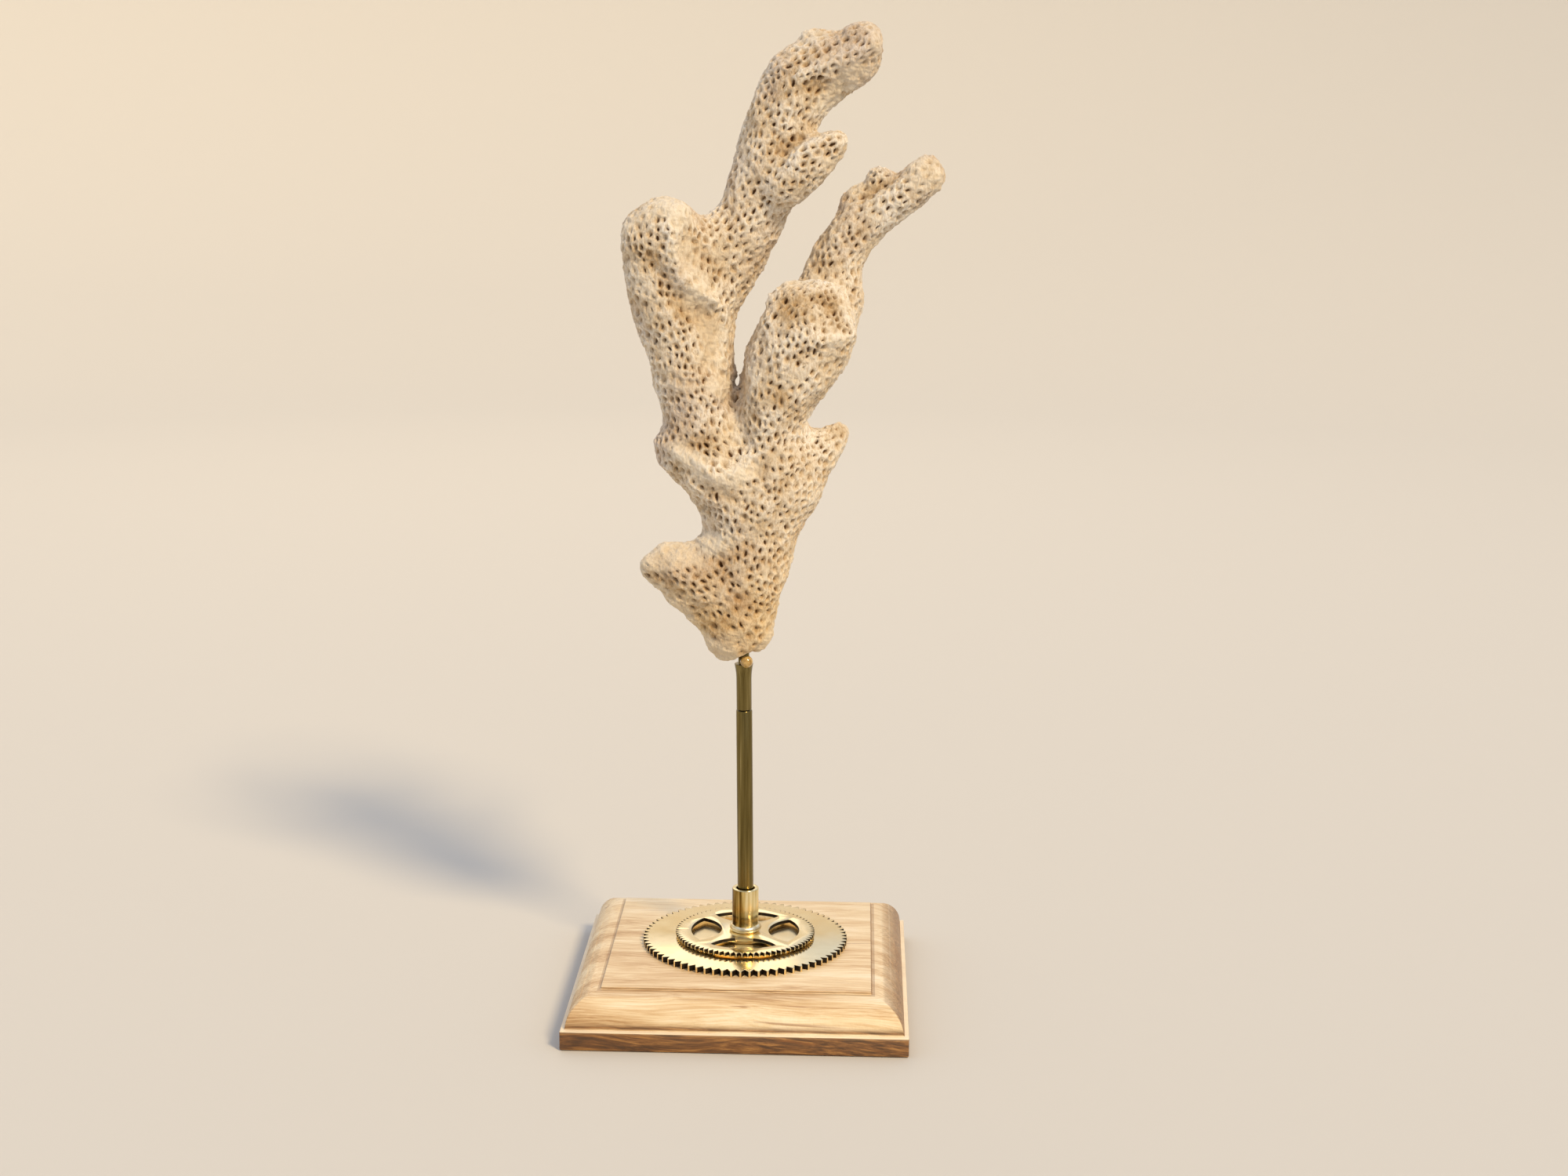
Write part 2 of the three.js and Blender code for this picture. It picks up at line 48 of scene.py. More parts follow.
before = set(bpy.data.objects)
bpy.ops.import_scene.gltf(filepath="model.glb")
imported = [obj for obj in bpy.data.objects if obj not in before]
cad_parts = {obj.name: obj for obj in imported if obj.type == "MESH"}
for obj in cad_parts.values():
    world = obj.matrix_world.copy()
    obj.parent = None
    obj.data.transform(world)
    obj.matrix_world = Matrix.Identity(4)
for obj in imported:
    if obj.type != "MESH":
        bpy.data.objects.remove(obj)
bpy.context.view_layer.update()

MM = 0.001
# Edges that turn more sharply than this are eased
EASED_CORNER = math.radians(50)
# A face looks up or down where its normal's height is over this
LEVEL_FACE = 0.9
CORAL_NODES = [
    "coral_trunk", "coral_left_spur", "coral_right_spur", "coral_left_lobe",
    "coral_tall_branch", "coral_finger", "coral_middle_lobe", "coral_right_branch",
]
# Where the coral's foot stands, in mm: the strokes and growth lines below are measured from here
CORAL_FOOT = np.array((-0.4, 1.4, 100.5))

# What the skin's mesh keeps for its material: how far the ridges stand out (ridges painted pale as light,
# hollows tan as shade), how near the crest of the wall between two bowls (bowls painted tan as shade, each
# pore's lower lip pale as a painted highlight), how rubbed, and how deep inside a pore (painted dark brown as
# shade)
SKIN_ATTRIBUTES = ("relief", "wall", "worn", "pit")

# Middle lines that the pores follow from the foot to each tip, in mm
GROWTH_LINES = [
    [(-2, 0, 2), (1, 0, 33), (2.6, 0, 48)],
    [(2, 0, 46), (-12.4, -1, 70), (-15.6, -1, 82), (-24.2, -7, 122.8)],
    [(4, 0, 46), (8, -1, 66), (13.8, -4, 88.6), (17.4, -6, 100)],
    [(0, 0, 14), (-25.4, -3.5, 29)],
    [(12, 0, 52), (26.9, 3, 67.4)],
    [(-11.5, 3, 88), (-6.8, 5, 114), (5.2, 3, 141), (15, 3, 165.8), (31, 1, 177)],
    [(10, -4, 137), (24.8, -6, 149.4)],
    [(20, 5, 95), (24.8, 7, 114), (35.4, 6, 131), (50.2, 4, 140.3)],
]

# Ridges and hollows of the skin, in mm from the foot: a line of points, how far it stands out (below zero it
# sinks) and how far to each side it reaches
STROKES = [
    # left lobe: knuckle, the crest down its front, the hollow beside the crest and the lit face behind it
    ([(-20.1, -15.9, 129.5), (-17, -13, 131.5)], 1.3, 4.0),
    ([(-20.6, -16.6, 125.6), (-19.4, -15.6, 119.1), (-17.3, -14.3, 113.6), (-13.6, -12.1, 109.6),
      (-9.7, -8.2, 106.3)], 1.7, 1.7),
    ([(-9.7, -8.2, 106.3), (-6.6, -4.7, 103.3), (-5.9, -4.5, 97.6), (-5.8, -4.8, 92.1),
      (-6, -6, 87.1)], 1.5, 1.5),
    ([(-25.5, -15.6, 116.7), (-21.2, -14.9, 109.9), (-16.6, -13.1, 105.5),
      (-12.7, -11.4, 101.5)], -1.5, 2.7),
    ([(-10.6, -9.9, 101), (-9.5, -9.6, 97), (-9.1, -9.9, 91.5), (-10.5, -11, 87.7)], -1.2, 2.4),
    ([(-7.9, -10.1, 82.3), (-5.3, -5.1, 82.2)], 0.9, 1.9),
    ([(-2.2, 0.5, 80.5), (-2.2, 0.5, 84.5)], 0.9, 2.6),
    ([(-14.9, -13, 124.3), (-9.7, -8.3, 117.6), (-5.5, -5.4, 112)], -0.7, 3.2),
    ([(-28.7, -15.4, 127.5), (-27.5, -14, 120)], -0.5, 3.0),
    # fork and the V-shaped ridge under it
    ([(-3.9, -3.3, 78.4), (-3.5, -5.4, 73.3), (-3.2, -10, 67.2), (-4.6, -13, 61.4)], -0.5, 1.4),
    ([(-24.2, -5.1, 65.8), (-18.9, -10.9, 63.8), (-13.7, -12.6, 61.5), (-9.2, -13.9, 58.4),
      (-4.7, -14.4, 55.6), (-1, -13.7, 58.5), (2.9, -11.9, 63.2)], 1.1, 1.6),
    ([(-22, -9, 60), (-15.9, -12.4, 57), (-9.6, -13.9, 53.4), (-4.7, -13.6, 51.2)], -0.8, 2.0),
    ([(-14, -12, 67), (-8, -12.5, 64.5)], -0.6, 3.0),
    # middle lobe: rim, the cup under it and the low ridge below
    ([(7.3, -7.3, 106), (10.7, -7.7, 109.7), (15.3, -5, 110.8), (21, -7.5, 110.9),
      (25.6, -7.1, 109.1), (27.8, -9.5, 105.5), (29.5, -11.6, 99.9), (30.4, -10, 96.4)], 1.4, 1.6),
    ([(10.2, -13, 106.3), (14.6, -13.7, 107.3), (20, -13.6, 107.3), (24.4, -13.2, 105.3)], -1.7, 2.0),
    ([(11.4, -14.9, 102.1), (18, -16.4, 102.4), (24.5, -14.5, 101.2)], -0.9, 2.8),
    ([(18.1, -17, 94.9), (22.4, -16.2, 96.1), (26.3, -14.3, 96.6), (29.9, -11.3, 96.8)], 1.3, 1.4),
    ([(5.8, -10.2, 101.6), (3.6, -9.4, 96), (1.5, -10, 87.3)], 0.5, 2.2),
    # tall branch and finger
    ([(14.8, -6.2, 167.6), (24, -6.3, 171.3), (31.3, -6.1, 174.1), (34.7, -6.1, 176.2)], 1.3, 1.8),
    ([(18.1, -6.2, 163.4), (25.6, -4.8, 165.8), (32, -5.5, 169)], -0.9, 2.2),
    ([(12, -10, 142.7), (17.3, -10.4, 148.1), (22.6, -8.6, 151.9), (26.3, -7.5, 153.4)], 0.6, 1.8),
    ([(10.8, -7.3, 147.3), (14.6, -6.8, 150.8), (17.5, -3.5, 154)], -1.1, 1.6),
    # right branch: crease between its knobs and its front
    ([(32.2, 2.9, 134.8), (36.5, 3, 137.4), (41.3, 2, 139.7)], -0.9, 1.4),
    ([(26.2, 0.3, 124), (34.9, -0.3, 131.3), (44.6, -0.7, 138.8)], 0.5, 2.0),
    ([(28.8, 6, 135.5), (38, 6, 141.6)], 0.7, 1.9),
    # left spur and foot
    ([(-29.2, -5.6, 30.4), (-24, -5.3, 34.8), (-17.6, -3.6, 36.2), (-10.9, -5.6, 37),
      (-6.9, -9.4, 36)], 0.9, 2.2),
    ([(-20.7, -7.2, 35.4)], -1.1, 1.7),
    ([(-24, -9, 26.5), (-15, -11, 20), (-10, -11, 14)], -0.7, 2.6),
    ([(-25.5, -4, 23.8), (-17.7, -5.5, 16.5), (-9.6, -3.3, 5.4)], 0.5, 2.2),
]

# Rubbed places, where the pores are faint and the skin is pale: a line of points, how rubbed from 0 to 1, and
# how far it reaches
RUBBED = [
    ([(-18, -14, 130.8), (-22, -12, 134)], 0.95, 5.0),
    ([(-30, -13.9, 127.4), (-25.9, -10.3, 133.1), (-20.5, -10.4, 134)], 0.6, 4.0),
    ([(-16.5, -13.5, 120), (-14, -11, 112), (-11.5, -10.5, 104)], 0.7, 5.0),
    ([(-9.5, -9.5, 98), (-8.5, -9, 90)], 0.75, 4.2),
    ([(-8.5, -10.1, 82.3), (-5.3, -5.1, 82.2)], 0.9, 3.0),
    ([(-30, -13, 112), (-28, -14, 104)], 0.35, 5.0),
    ([(-18.9, -10.7, 64.4), (-13.7, -12.7, 60.8), (-9.1, -14, 57.3), (-4.7, -14.3, 55),
      (-0.3, -14.1, 57.7), (2.5, -13.1, 59.3)], 0.8, 3.2),
    ([(-2.6, -4.7, 73.2), (-2.1, -9.7, 67.2)], 0.6, 3.0),
    ([(7.4, -3.4, 106.3), (14.5, -7.3, 111), (18.4, -1.2, 111.3), (24.2, -3.7, 110),
      (28.5, -9.7, 104.7)], 0.6, 2.6),
    ([(24.5, -15.1, 96.7), (27.8, -13.5, 96.1)], 0.6, 2.4),
    ([(31, -4.9, 167.6), (25.6, -3.5, 164.6), (21.8, -2.6, 160.3)], 0.85, 3.6),
    ([(36.6, -4.9, 176.7), (35.7, -3.3, 180.9)], 0.7, 3.6),
    ([(16.7, 0.6, 180.2), (20, -0.2, 179.3)], 0.7, 3.0),
    ([(29, -4.4, 150.7)], 0.7, 3.6),
    ([(54.3, 0.1, 142.7), (55.2, 1, 137.3), (47, 0, 144)], 0.75, 4.6),
    ([(-29.2, -5.6, 29.9), (-24, -5.3, 34.5), (-17.6, -3.6, 35.9), (-10.9, -5.6, 37),
      (-6.9, -9.4, 36)], 0.9, 3.6),
    ([(-25.1, -8.5, 30.1), (-19.4, -9.3, 32.6), (-13.9, -7.8, 33.3)], 0.85, 3.4),
    ([(-17.7, -5.5, 16.5), (-12.8, -0.2, 9.6), (-8.9, -4.3, 5.4), (-3.9, -3.5, 1.5)], 1.0, 3.4),
    ([(-26, -5, 24), (-17.7, -5.5, 16.5)], 0.7, 3.0),
    ([(9.2, 1.3, 10.9), (8.7, -0.6, 7.4), (6.3, -3, 4.9)], 0.9, 3.0),
    ([(29.8, 4, 69.1)], 0.6, 3.0),
    ([(5, 14, 160), (2, 13, 140)], 0.5, 5.0),
    ([(-22, 8, 110), (-20, 9, 95)], 0.5, 6.0),
]


def colour(code):
    """An sRGB hex colour as linear red, green, blue and alpha."""
    parts = [int(code[i:i + 2], 16) / 255 for i in (1, 3, 5)]
    return [p / 12.92 if p <= 0.04045 else ((p + 0.055) / 1.055) ** 2.4 for p in parts] + [1.0]


def add_node(tree, kind, settings=None, **links):
    """One shader node with its settings, its sockets' values and its links.

    A link is named for its socket, with _ for a blank, or i and the socket's number. It takes a socket, or a
    node for that node's first output. Stops are the places and colours of a ramp.
    """
    node = tree.nodes.new("ShaderNode" + kind)
    for name, value in (settings or {}).items():
        if name == "stops":
            ramp = node.color_ramp
            while len(ramp.elements) < len(value):
                ramp.elements.new(0.5)
            for element, (place, code) in zip(ramp.elements, value):
                element.position, element.color = place, colour(code)
        elif isinstance(name, str) and hasattr(node, name):
            setattr(node, name, value)
        else:
            node.inputs[name].default_value = value
    for name, source in links.items():
        socket = int(name[1:]) if name[1:].isdigit() else name.replace("_", " ")
        tree.links.new(getattr(source, "outputs", [source])[0], node.inputs[socket])
    return node


def new_material(name):
    """An empty node material and its tree."""
    material = bpy.data.materials.new(name)
    material.use_nodes = True
    tree = material.node_tree
    tree.nodes.clear()
    return material, tree


def millimetres(tree):
    """The piece's own coordinates in mm, which every pattern is scaled from."""
    place = add_node(tree, "TexCoord").outputs["Object"]
    return add_node(tree, "Mapping", {"Scale": (1000, 1000, 1000)}, Vector=place)


def settings():
    return bpy.context.scene.coral_stand


# Materials


def make_coral_material():
    """Sun-dried coral skeleton: chalky and cream, painted paler on the ridges as light, tan in the hollows
    and bowls as painted shade, and brown in the pores as painted shade.
    """
    material, tree = new_material("dried_coral_skeleton")
    mm = millimetres(tree)
    relief, wall, worn, pit = (
        add_node(tree, "Attribute", {"attribute_name": name}).outputs["Fac"] for name in SKIN_ATTRIBUTES
    )
    # clouds of colour about 9 mm across, over the tone that the ridges and hollows give: painted light on the
    # ridges, painted shade in the hollows
    clouds = add_node(tree, "TexNoise", {"Scale": 0.11, "Detail": 4.0, "Roughness": 0.6}, Vector=mm)
    tone = add_node(tree, "Math", {"operation": "MULTIPLY_ADD", 1: 0.22}, i0=relief, i2=clouds)
    base = add_node(tree, "ValToRGB", {"stops": [
        (0.25, "#d5bd99"), (0.40, "#e9d9bf"), (0.53, "#f5e9d5"), (0.68, "#fbf3e4"), (0.85, "#fef9ef"),
    ]}, Fac=tone)
    # pinkish grey patches, 20 mm and more across
    patches = add_node(tree, "TexNoise", {"Scale": 0.045, "Detail": 2.0, "Roughness": 0.5}, Vector=mm)
    patch_mask = add_node(tree, "MapRange", {"From Min": 0.5, "From Max": 0.66, "To Max": 0.5}, Value=patches)
    patched = add_node(tree, "Mix", {
        "data_type": "RGBA", 7: colour("#d0bba9"),
    }, Factor=patch_mask, i6=base).outputs[2]
    # the lowest 40 mm, next to the foot, are honey-coloured
    height = add_node(tree, "SeparateXYZ", Vector=mm).outputs[2]
    low = add_node(tree, "MapRange", {"From Min": 143.0, "From Max": 112.0, "To Max": 0.75}, Value=height)
    honeyed = add_node(tree, "Mix", {
        "data_type": "RGBA", "blend_type": "MULTIPLY", 7: colour("#f6e6c2"),
    }, Factor=low, i6=patched).outputs[2]
    # fibres of the skeleton between the pores, about 0.6 mm across and drawn out along the growth
    fibre_place = add_node(tree, "Mapping", {"Scale": (1, 1, 0.45)}, Vector=mm)
    grain = add_node(tree, "TexNoise", {"Scale": 1.5, "Detail": 4.0, "Roughness": 0.7}, Vector=fibre_place)
    grain_tone = add_node(tree, "ValToRGB", {"stops": [(0.36, "#c7b294"), (0.56, "#ffffff")]}, Fac=grain)
    grained = add_node(tree, "Mix", {
        "data_type": "RGBA", "blend_type": "MULTIPLY", 0: 0.7,
    }, i6=honeyed, i7=grain_tone).outputs[2]
    # painted shade makes the bowls round the pores tan against the pale walls between them, and a painted
    # highlight makes each pore's lower lip pale
    bowl_shade_and_lip_highlight = add_node(tree, "ValToRGB", {"stops": [
        (0.0, "#dccbb0"), (0.45, "#f4ecde"), (0.9, "#ffffff"),
    ]}, Fac=wall)
    bowl_and_lip_painted = add_node(tree, "Mix", {
        "data_type": "RGBA", "blend_type": "MULTIPLY", 0: 0.8,
    }, i6=grained, i7=bowl_shade_and_lip_highlight).outputs[2]
    # the rubbed places are pale as well
    rub = add_node(tree, "Math", {"operation": "MULTIPLY", 1: 0.55}, i0=worn)
    rubbed = add_node(tree, "Mix", {
        "data_type": "RGBA", 7: colour("#efe3cc"),
    }, Factor=rub, i6=bowl_and_lip_painted).outputs[2]
    # the pores are painted dark brown as shade, and their edges are ragged at 0.4 mm
    ragged = add_node(tree, "TexNoise", {"Scale": 2.4, "Detail": 2.0, "Roughness": 0.6}, Vector=mm)
    ragged_edge = add_node(tree, "Math", {"operation": "MULTIPLY_ADD", 1: 0.5, 2: -0.25}, i0=ragged)
    depth = add_node(tree, "Math", {"operation": "ADD"}, i0=pit, i1=ragged_edge)
    pore_shade_mask = add_node(tree, "MapRange", {"From Min": 0.28, "From Max": 0.78, "To Max": 0.92}, Value=depth)
    pored = add_node(tree, "Mix", {
        "data_type": "RGBA", 7: colour("#704a24"),
    }, Factor=pore_shade_mask, i6=rubbed).outputs[2]
    bump = add_node(tree, "Bump", {"Strength": 0.9, "Distance": 0.7 * MM}, Height=grain)
    shader = add_node(tree, "BsdfPrincipled", {
        "Roughness": 0.9, "IOR": 1.5, "Specular IOR Level": 0.25,
    }, Base_Color=pored, Normal=bump)
    add_node(tree, "OutputMaterial", Surface=shader)
    return material


def make_wood_material():
    """Light hardwood under a thin satin lacquer: even tan, fibres along X, with painted shade making the
    upright faces darker and more orange, and the right side's end grain more orange, partly as painted shade.
    """
    material, tree = new_material("lacquered_light_hardwood")
    mm = millimetres(tree)
    # the grain wanders a few mm on its way along the board
    slow = add_node(tree, "Mapping", {"Scale": (0.25, 1, 1)}, Vector=mm)
    wander = add_node(tree, "TexNoise", {"Scale": 0.05, "Detail": 2.0, "Roughness": 0.5}, Vector=slow)
    shift = add_node(tree, "VectorMath", {"operation": "SCALE", "Scale": 14.0}, i0=wander.outputs[1])
    bent = add_node(tree, "VectorMath", {"operation": "ADD"}, i0=mm, i1=shift)
    # fibres 0.5 mm across, bands about 5 mm across and clouds of 20 mm, each drawn out along the grain
    fibre_place = add_node(tree, "Mapping", {"Scale": (0.035, 1, 1)}, Vector=bent)
    fibre = add_node(tree, "TexNoise", {"Scale": 1.8, "Detail": 5.0, "Roughness": 0.65}, Vector=fibre_place)
    band_place = add_node(tree, "Mapping", {"Scale": (0.08, 1, 1)}, Vector=bent)
    bands = add_node(tree, "TexNoise", {"Scale": 0.22, "Detail": 3.0, "Roughness": 0.5}, Vector=band_place)
    clouds = add_node(tree, "TexNoise", {"Scale": 0.05, "Detail": 3.0, "Roughness": 0.5}, Vector=slow)
    tone = add_node(tree, "Math", {"operation": "MULTIPLY", 1: 0.45}, i0=fibre)
    for pattern, share in ((bands, 0.3), (clouds, 0.4)):
        tone = add_node(tree, "Math", {"operation": "MULTIPLY_ADD", 1: share}, i0=pattern, i2=tone)
    base = add_node(tree, "ValToRGB", {"stops": [
        (0.44, "#b0895a"), (0.54, "#d4b588"), (0.62, "#e5cfa7"), (0.70, "#f1e0c2"),
    ]}, Fac=tone)
    # the upright faces, the band's face among them, are painted darker and more orange with broken streaks as
    # shade, and so is the right side, partly for its end grain and partly as painted shade
    facing = add_node(tree, "NewGeometry").outputs["Normal"]
    sides = add_node(tree, "SeparateXYZ", Vector=facing)
    upright = add_node(tree, "MapRange", {
        "From Min": 0.3, "From Max": 0.1, "To Max": 0.95,
    }, Value=sides.outputs[2])
    end_grain_and_right_shade = add_node(tree, "MapRange", {
        "From Min": 0.15, "From Max": 0.75, "To Max": 0.8,
    }, Value=sides.outputs[0])
    side_shade_and_end_grain = add_node(tree, "Math", {"operation": "MAXIMUM"}, i0=upright, i1=end_grain_and_right_shade)
    streaks = add_node(tree, "ValToRGB", {"stops": [
        (0.38, "#44270b"), (0.50, "#6f4314"), (0.64, "#a57334"),
    ]}, Fac=fibre)
    side_shaded = add_node(tree, "Mix", {"data_type": "RGBA"}, Factor=side_shade_and_end_grain, i6=base, i7=streaks).outputs[2]
    # a few thin brown lines where the rings are tight
    line_place = add_node(tree, "Mapping", {"Scale": (0.02, 1, 1), "Location": (3, 4, 1)}, Vector=bent)
    lines = add_node(tree, "TexNoise", {"Scale": 0.75, "Detail": 2.0, "Roughness": 0.5}, Vector=line_place)
    line_mask = add_node(tree, "MapRange", {"From Min": 0.67, "From Max": 0.73, "To Max": 0.6}, Value=lines)
    # a darker line along the corner at the foot of the raised panel, and the narrow ledge painted pale as a
    # highlight
    height = add_node(tree, "SeparateXYZ", Vector=mm).outputs[2]
    corner = add_node(tree, "Math", {"operation": "COMPARE", 1: 14.22, 2: 0.07}, i0=height)
    corner_darkening = add_node(tree, "Math", {"operation": "MULTIPLY", 1: 0.4}, i0=corner)
    ledge = add_node(tree, "Math", {"operation": "COMPARE", 1: 5.5, 2: 0.22}, i0=height)
    pale = add_node(tree, "Math", {"operation": "MULTIPLY", 1: 0.75}, i0=ledge)
    painted = side_shaded
    for mask, tint in ((line_mask, "#8d5a2b"), (corner_darkening, "#7d5430"), (pale, "#f6e6c8")):
        painted = add_node(tree, "Mix", {
            "data_type": "RGBA", 7: colour(tint),
        }, Factor=mask, i6=painted).outputs[2]
    # open fibres, and shallow dents about 1 mm across, deeper in some places than in others
    dents = add_node(tree, "TexNoise", {"Scale": 0.8, "Detail": 3.0, "Roughness": 0.6}, Vector=mm)
    worked = add_node(tree, "MapRange", {
        "From Min": 0.4, "From Max": 0.62, "To Min": 0.3, "To Max": 2.2,
    }, Value=clouds)
    rough_wood = add_node(tree, "Math", {"operation": "MULTIPLY_ADD"}, i0=dents, i1=worked, i2=fibre)
    bump = add_node(tree, "Bump", {"Strength": 0.45, "Distance": 0.2 * MM}, Height=rough_wood)
    shader = add_node(tree, "BsdfPrincipled", {
        "Roughness": 0.5, "IOR": 1.5, "Coat Weight": 0.25, "Coat Roughness": 0.3,
    }, Base_Color=painted, Normal=bump)
    add_node(tree, "OutputMaterial", Surface=shader)
    return material


def make_polished_brass():
    """Polished clock brass: pale yellow and nearly a mirror, with a faint haze of hand polishing."""
    material, tree = new_material("polished_clock_brass")
    mm = millimetres(tree)
    haze = add_node(tree, "TexNoise", {"Scale": 0.12, "Detail": 3.0, "Roughness": 0.5}, Vector=mm)
    tone = add_node(tree, "ValToRGB", {"stops": [(0.3, "#f8dfa8"), (0.7, "#fdecc0")]}, Fac=haze)
    rough = add_node(tree, "MapRange", {
        "From Min": 0.3, "From Max": 0.7, "To Min": 0.14, "To Max": 0.22,
    }, Value=haze)
    # scratches of the polishing cloth, 0.1 mm apart
    scratch_place = add_node(tree, "Mapping", {"Scale": (0.04, 1, 1), "Rotation": (0, 0, 0.5)}, Vector=mm)
    scratches = add_node(tree, "TexNoise", {"Scale": 6.0, "Detail": 2.0}, Vector=scratch_place)
    bump = add_node(tree, "Bump", {"Strength": 0.05, "Distance": 0.03 * MM}, Height=scratches)
    shader = add_node(tree, "BsdfPrincipled", {
        "Metallic": 1.0,
    }, Base_Color=tone, Roughness=rough, Normal=bump)
    add_node(tree, "OutputMaterial", Surface=shader)
    return material


def make_dark_brass():
    """Brass between the teeth and in the windows: painted dark brown as shade, with some tarnish, dull and
    uneven.
    """
    material, tree = new_material("brass_flanks_oxide_and_shade")
    mm = millimetres(tree)
    flank_mottle = add_node(tree, "TexNoise", {"Scale": 0.9, "Detail": 3.0, "Roughness": 0.6}, Vector=mm)
    tone = add_node(tree, "ValToRGB", {"stops": [
        (0.35, "#0d0803"), (0.6, "#241807"), (0.8, "#5b4420"),
    ]}, Fac=flank_mottle)
    bump = add_node(tree, "Bump", {"Strength": 0.3, "Distance": 0.05 * MM}, Height=flank_mottle)
    shader = add_node(tree, "BsdfPrincipled", {
        "Metallic": 0.5, "Roughness": 0.55,
    }, Base_Color=tone, Normal=bump)
    add_node(tree, "OutputMaterial", Surface=shader)
    return material


def make_solder():
    """A bead of soft solder, brushed over with the brass: pale straw, smooth and slightly dull."""
    material, tree = new_material("brassed_solder_bead")
    mm = millimetres(tree)
    runs = add_node(tree, "TexNoise", {"Scale": 0.5, "Detail": 3.0, "Roughness": 0.5}, Vector=mm)
    tone = add_node(tree, "ValToRGB", {"stops": [(0.35, "#d6bd86"), (0.6, "#f6e8c4")]}, Fac=runs)
    bump = add_node(tree, "Bump", {"Strength": 0.5, "Distance": 0.3 * MM}, Height=runs)
    shader = add_node(tree, "BsdfPrincipled", {
        "Metallic": 1.0, "Roughness": 0.26,
    }, Base_Color=tone, Normal=bump)
    add_node(tree, "OutputMaterial", Surface=shader)
    return material


def make_tube_brass():
    """Turned brass tube, polished: pale gold, with olive and brown streaks up its side painted as
    reflections.
    """
    material, tree = new_material("turned_brass_tube")
    mm = millimetres(tree)
    streak_place = add_node(tree, "Mapping", {"Scale": (1, 1, 0.05)}, Vector=mm)
    streaks = add_node(tree, "TexNoise", {
        "Scale": 0.36, "Detail": 3.0, "Roughness": 0.6,
    }, Vector=streak_place)
    reflection_streak_tone = add_node(tree, "ValToRGB", {"stops": [
        (0.36, "#3a290d"), (0.45, "#8a6c30"), (0.52, "#dcbf78"), (0.60, "#fbeab8"),
    ]}, Fac=streaks)
    # the rim, which faces up, is painted bright as a highlight
    facing = add_node(tree, "NewGeometry").outputs["Normal"]
    up = add_node(tree, "SeparateXYZ", Vector=facing).outputs[2]
    rim = add_node(tree, "MapRange", {"From Min": 0.2, "From Max": 0.7}, Value=up)
    tone = add_node(tree, "Mix", {
        "data_type": "RGBA", 7: colour("#f7e4af"),
    }, Factor=rim, i6=reflection_streak_tone).outputs[2]
    bump = add_node(tree, "Bump", {"Strength": 0.25, "Distance": 0.1 * MM}, Height=streaks)
    shader = add_node(tree, "BsdfPrincipled", {
        "Metallic": 1.0, "Roughness": 0.17,
    }, Base_Color=tone, Normal=bump)
    add_node(tree, "OutputMaterial", Surface=shader)
    return material


def make_rod_brass():
    """Drawn brass rod, handled and dulled to dark olive, with die lines along its length and lighter and
    darker streaks painted along it as reflections.
    """
    material, tree = new_material("drawn_brass_rod")
    mm = millimetres(tree)
    # lengthwise streaks of lighter and darker olive: die lines, with painted reflections in them
    line_place = add_node(tree, "Mapping", {"Scale": (1, 1, 0.03)}, Vector=mm)
    lines = add_node(tree, "TexNoise", {"Scale": 0.9, "Detail": 3.0, "Roughness": 0.6}, Vector=line_place)
    tone = add_node(tree, "ValToRGB", {"stops": [
        (0.3, "#5a4c26"), (0.55, "#7f7044"), (0.75, "#a9996a"),
    ]}, Fac=lines)
    bump = add_node(tree, "Bump", {"Strength": 0.2, "Distance": 0.1 * MM}, Height=lines)
    shader = add_node(tree, "BsdfPrincipled", {
        "Metallic": 1.0, "Roughness": 0.25,
    }, Base_Color=tone, Normal=bump)
    add_node(tree, "OutputMaterial", Surface=shader)
    return material


def make_glue_material():
    """A set drop of amber glue: glassy skin over a cloudy honey body."""
    material, tree = new_material("set_amber_glue")
    mm = millimetres(tree)
    cloud = add_node(tree, "TexNoise", {"Scale": 0.8, "Detail": 2.0}, Vector=mm)
    tone = add_node(tree, "ValToRGB", {"stops": [(0.35, "#9c7a38"), (0.65, "#c9a866")]}, Fac=cloud)
    shader = add_node(tree, "BsdfPrincipled", {
        "Roughness": 0.12, "IOR": 1.5, "Coat Weight": 0.6, "Coat Roughness": 0.05,
    }, Base_Color=tone)
    add_node(tree, "OutputMaterial", Surface=shader)
    return material


def make_floor_material(s):
    """Matt studio paper: plain and pale, with no shine."""
    material, tree = new_material("matt_studio_paper")
    shader = add_node(tree, "BsdfPrincipled", {
        "Base Color": list(s.floor_colour) + [1.0], "Roughness": 0.95, "Specular IOR Level": 0.1,
    })
    add_node(tree, "OutputMaterial", Surface=shader)
    return material


# Modelling helpers


def start_clean():
    """Nothing selected and object mode, so that an operator acts on the new piece alone."""
    if bpy.context.object and bpy.context.object.mode != "OBJECT":
        bpy.ops.object.mode_set(mode="OBJECT")
    bpy.ops.object.select_all(action="DESELECT")


def only(obj):
    start_clean()
    obj.select_set(True)
    bpy.context.view_layer.objects.active = obj
    return obj


def into_mesh(obj):
    """The object's own place goes into its mesh."""
    only(obj)
    bpy.ops.object.transform_apply(location=True, rotation=True, scale=True)
    return obj


def add_modifier(obj, kind, **values):
    """Adds a modifier with its values and applies it."""
    only(obj)
    modifier = obj.modifiers.new(kind.lower(), kind)
    for name, value in values.items():
        setattr(modifier, name, value)
    bpy.ops.object.modifier_apply(modifier=modifier.name)
    return obj


def ease(obj, width, segments, corner=EASED_CORNER):
    """Rounds the edges that turn by more than the corner."""
    add_modifier(obj, "BEVEL", width=width, segments=segments, limit_method="ANGLE", angle_limit=corner)


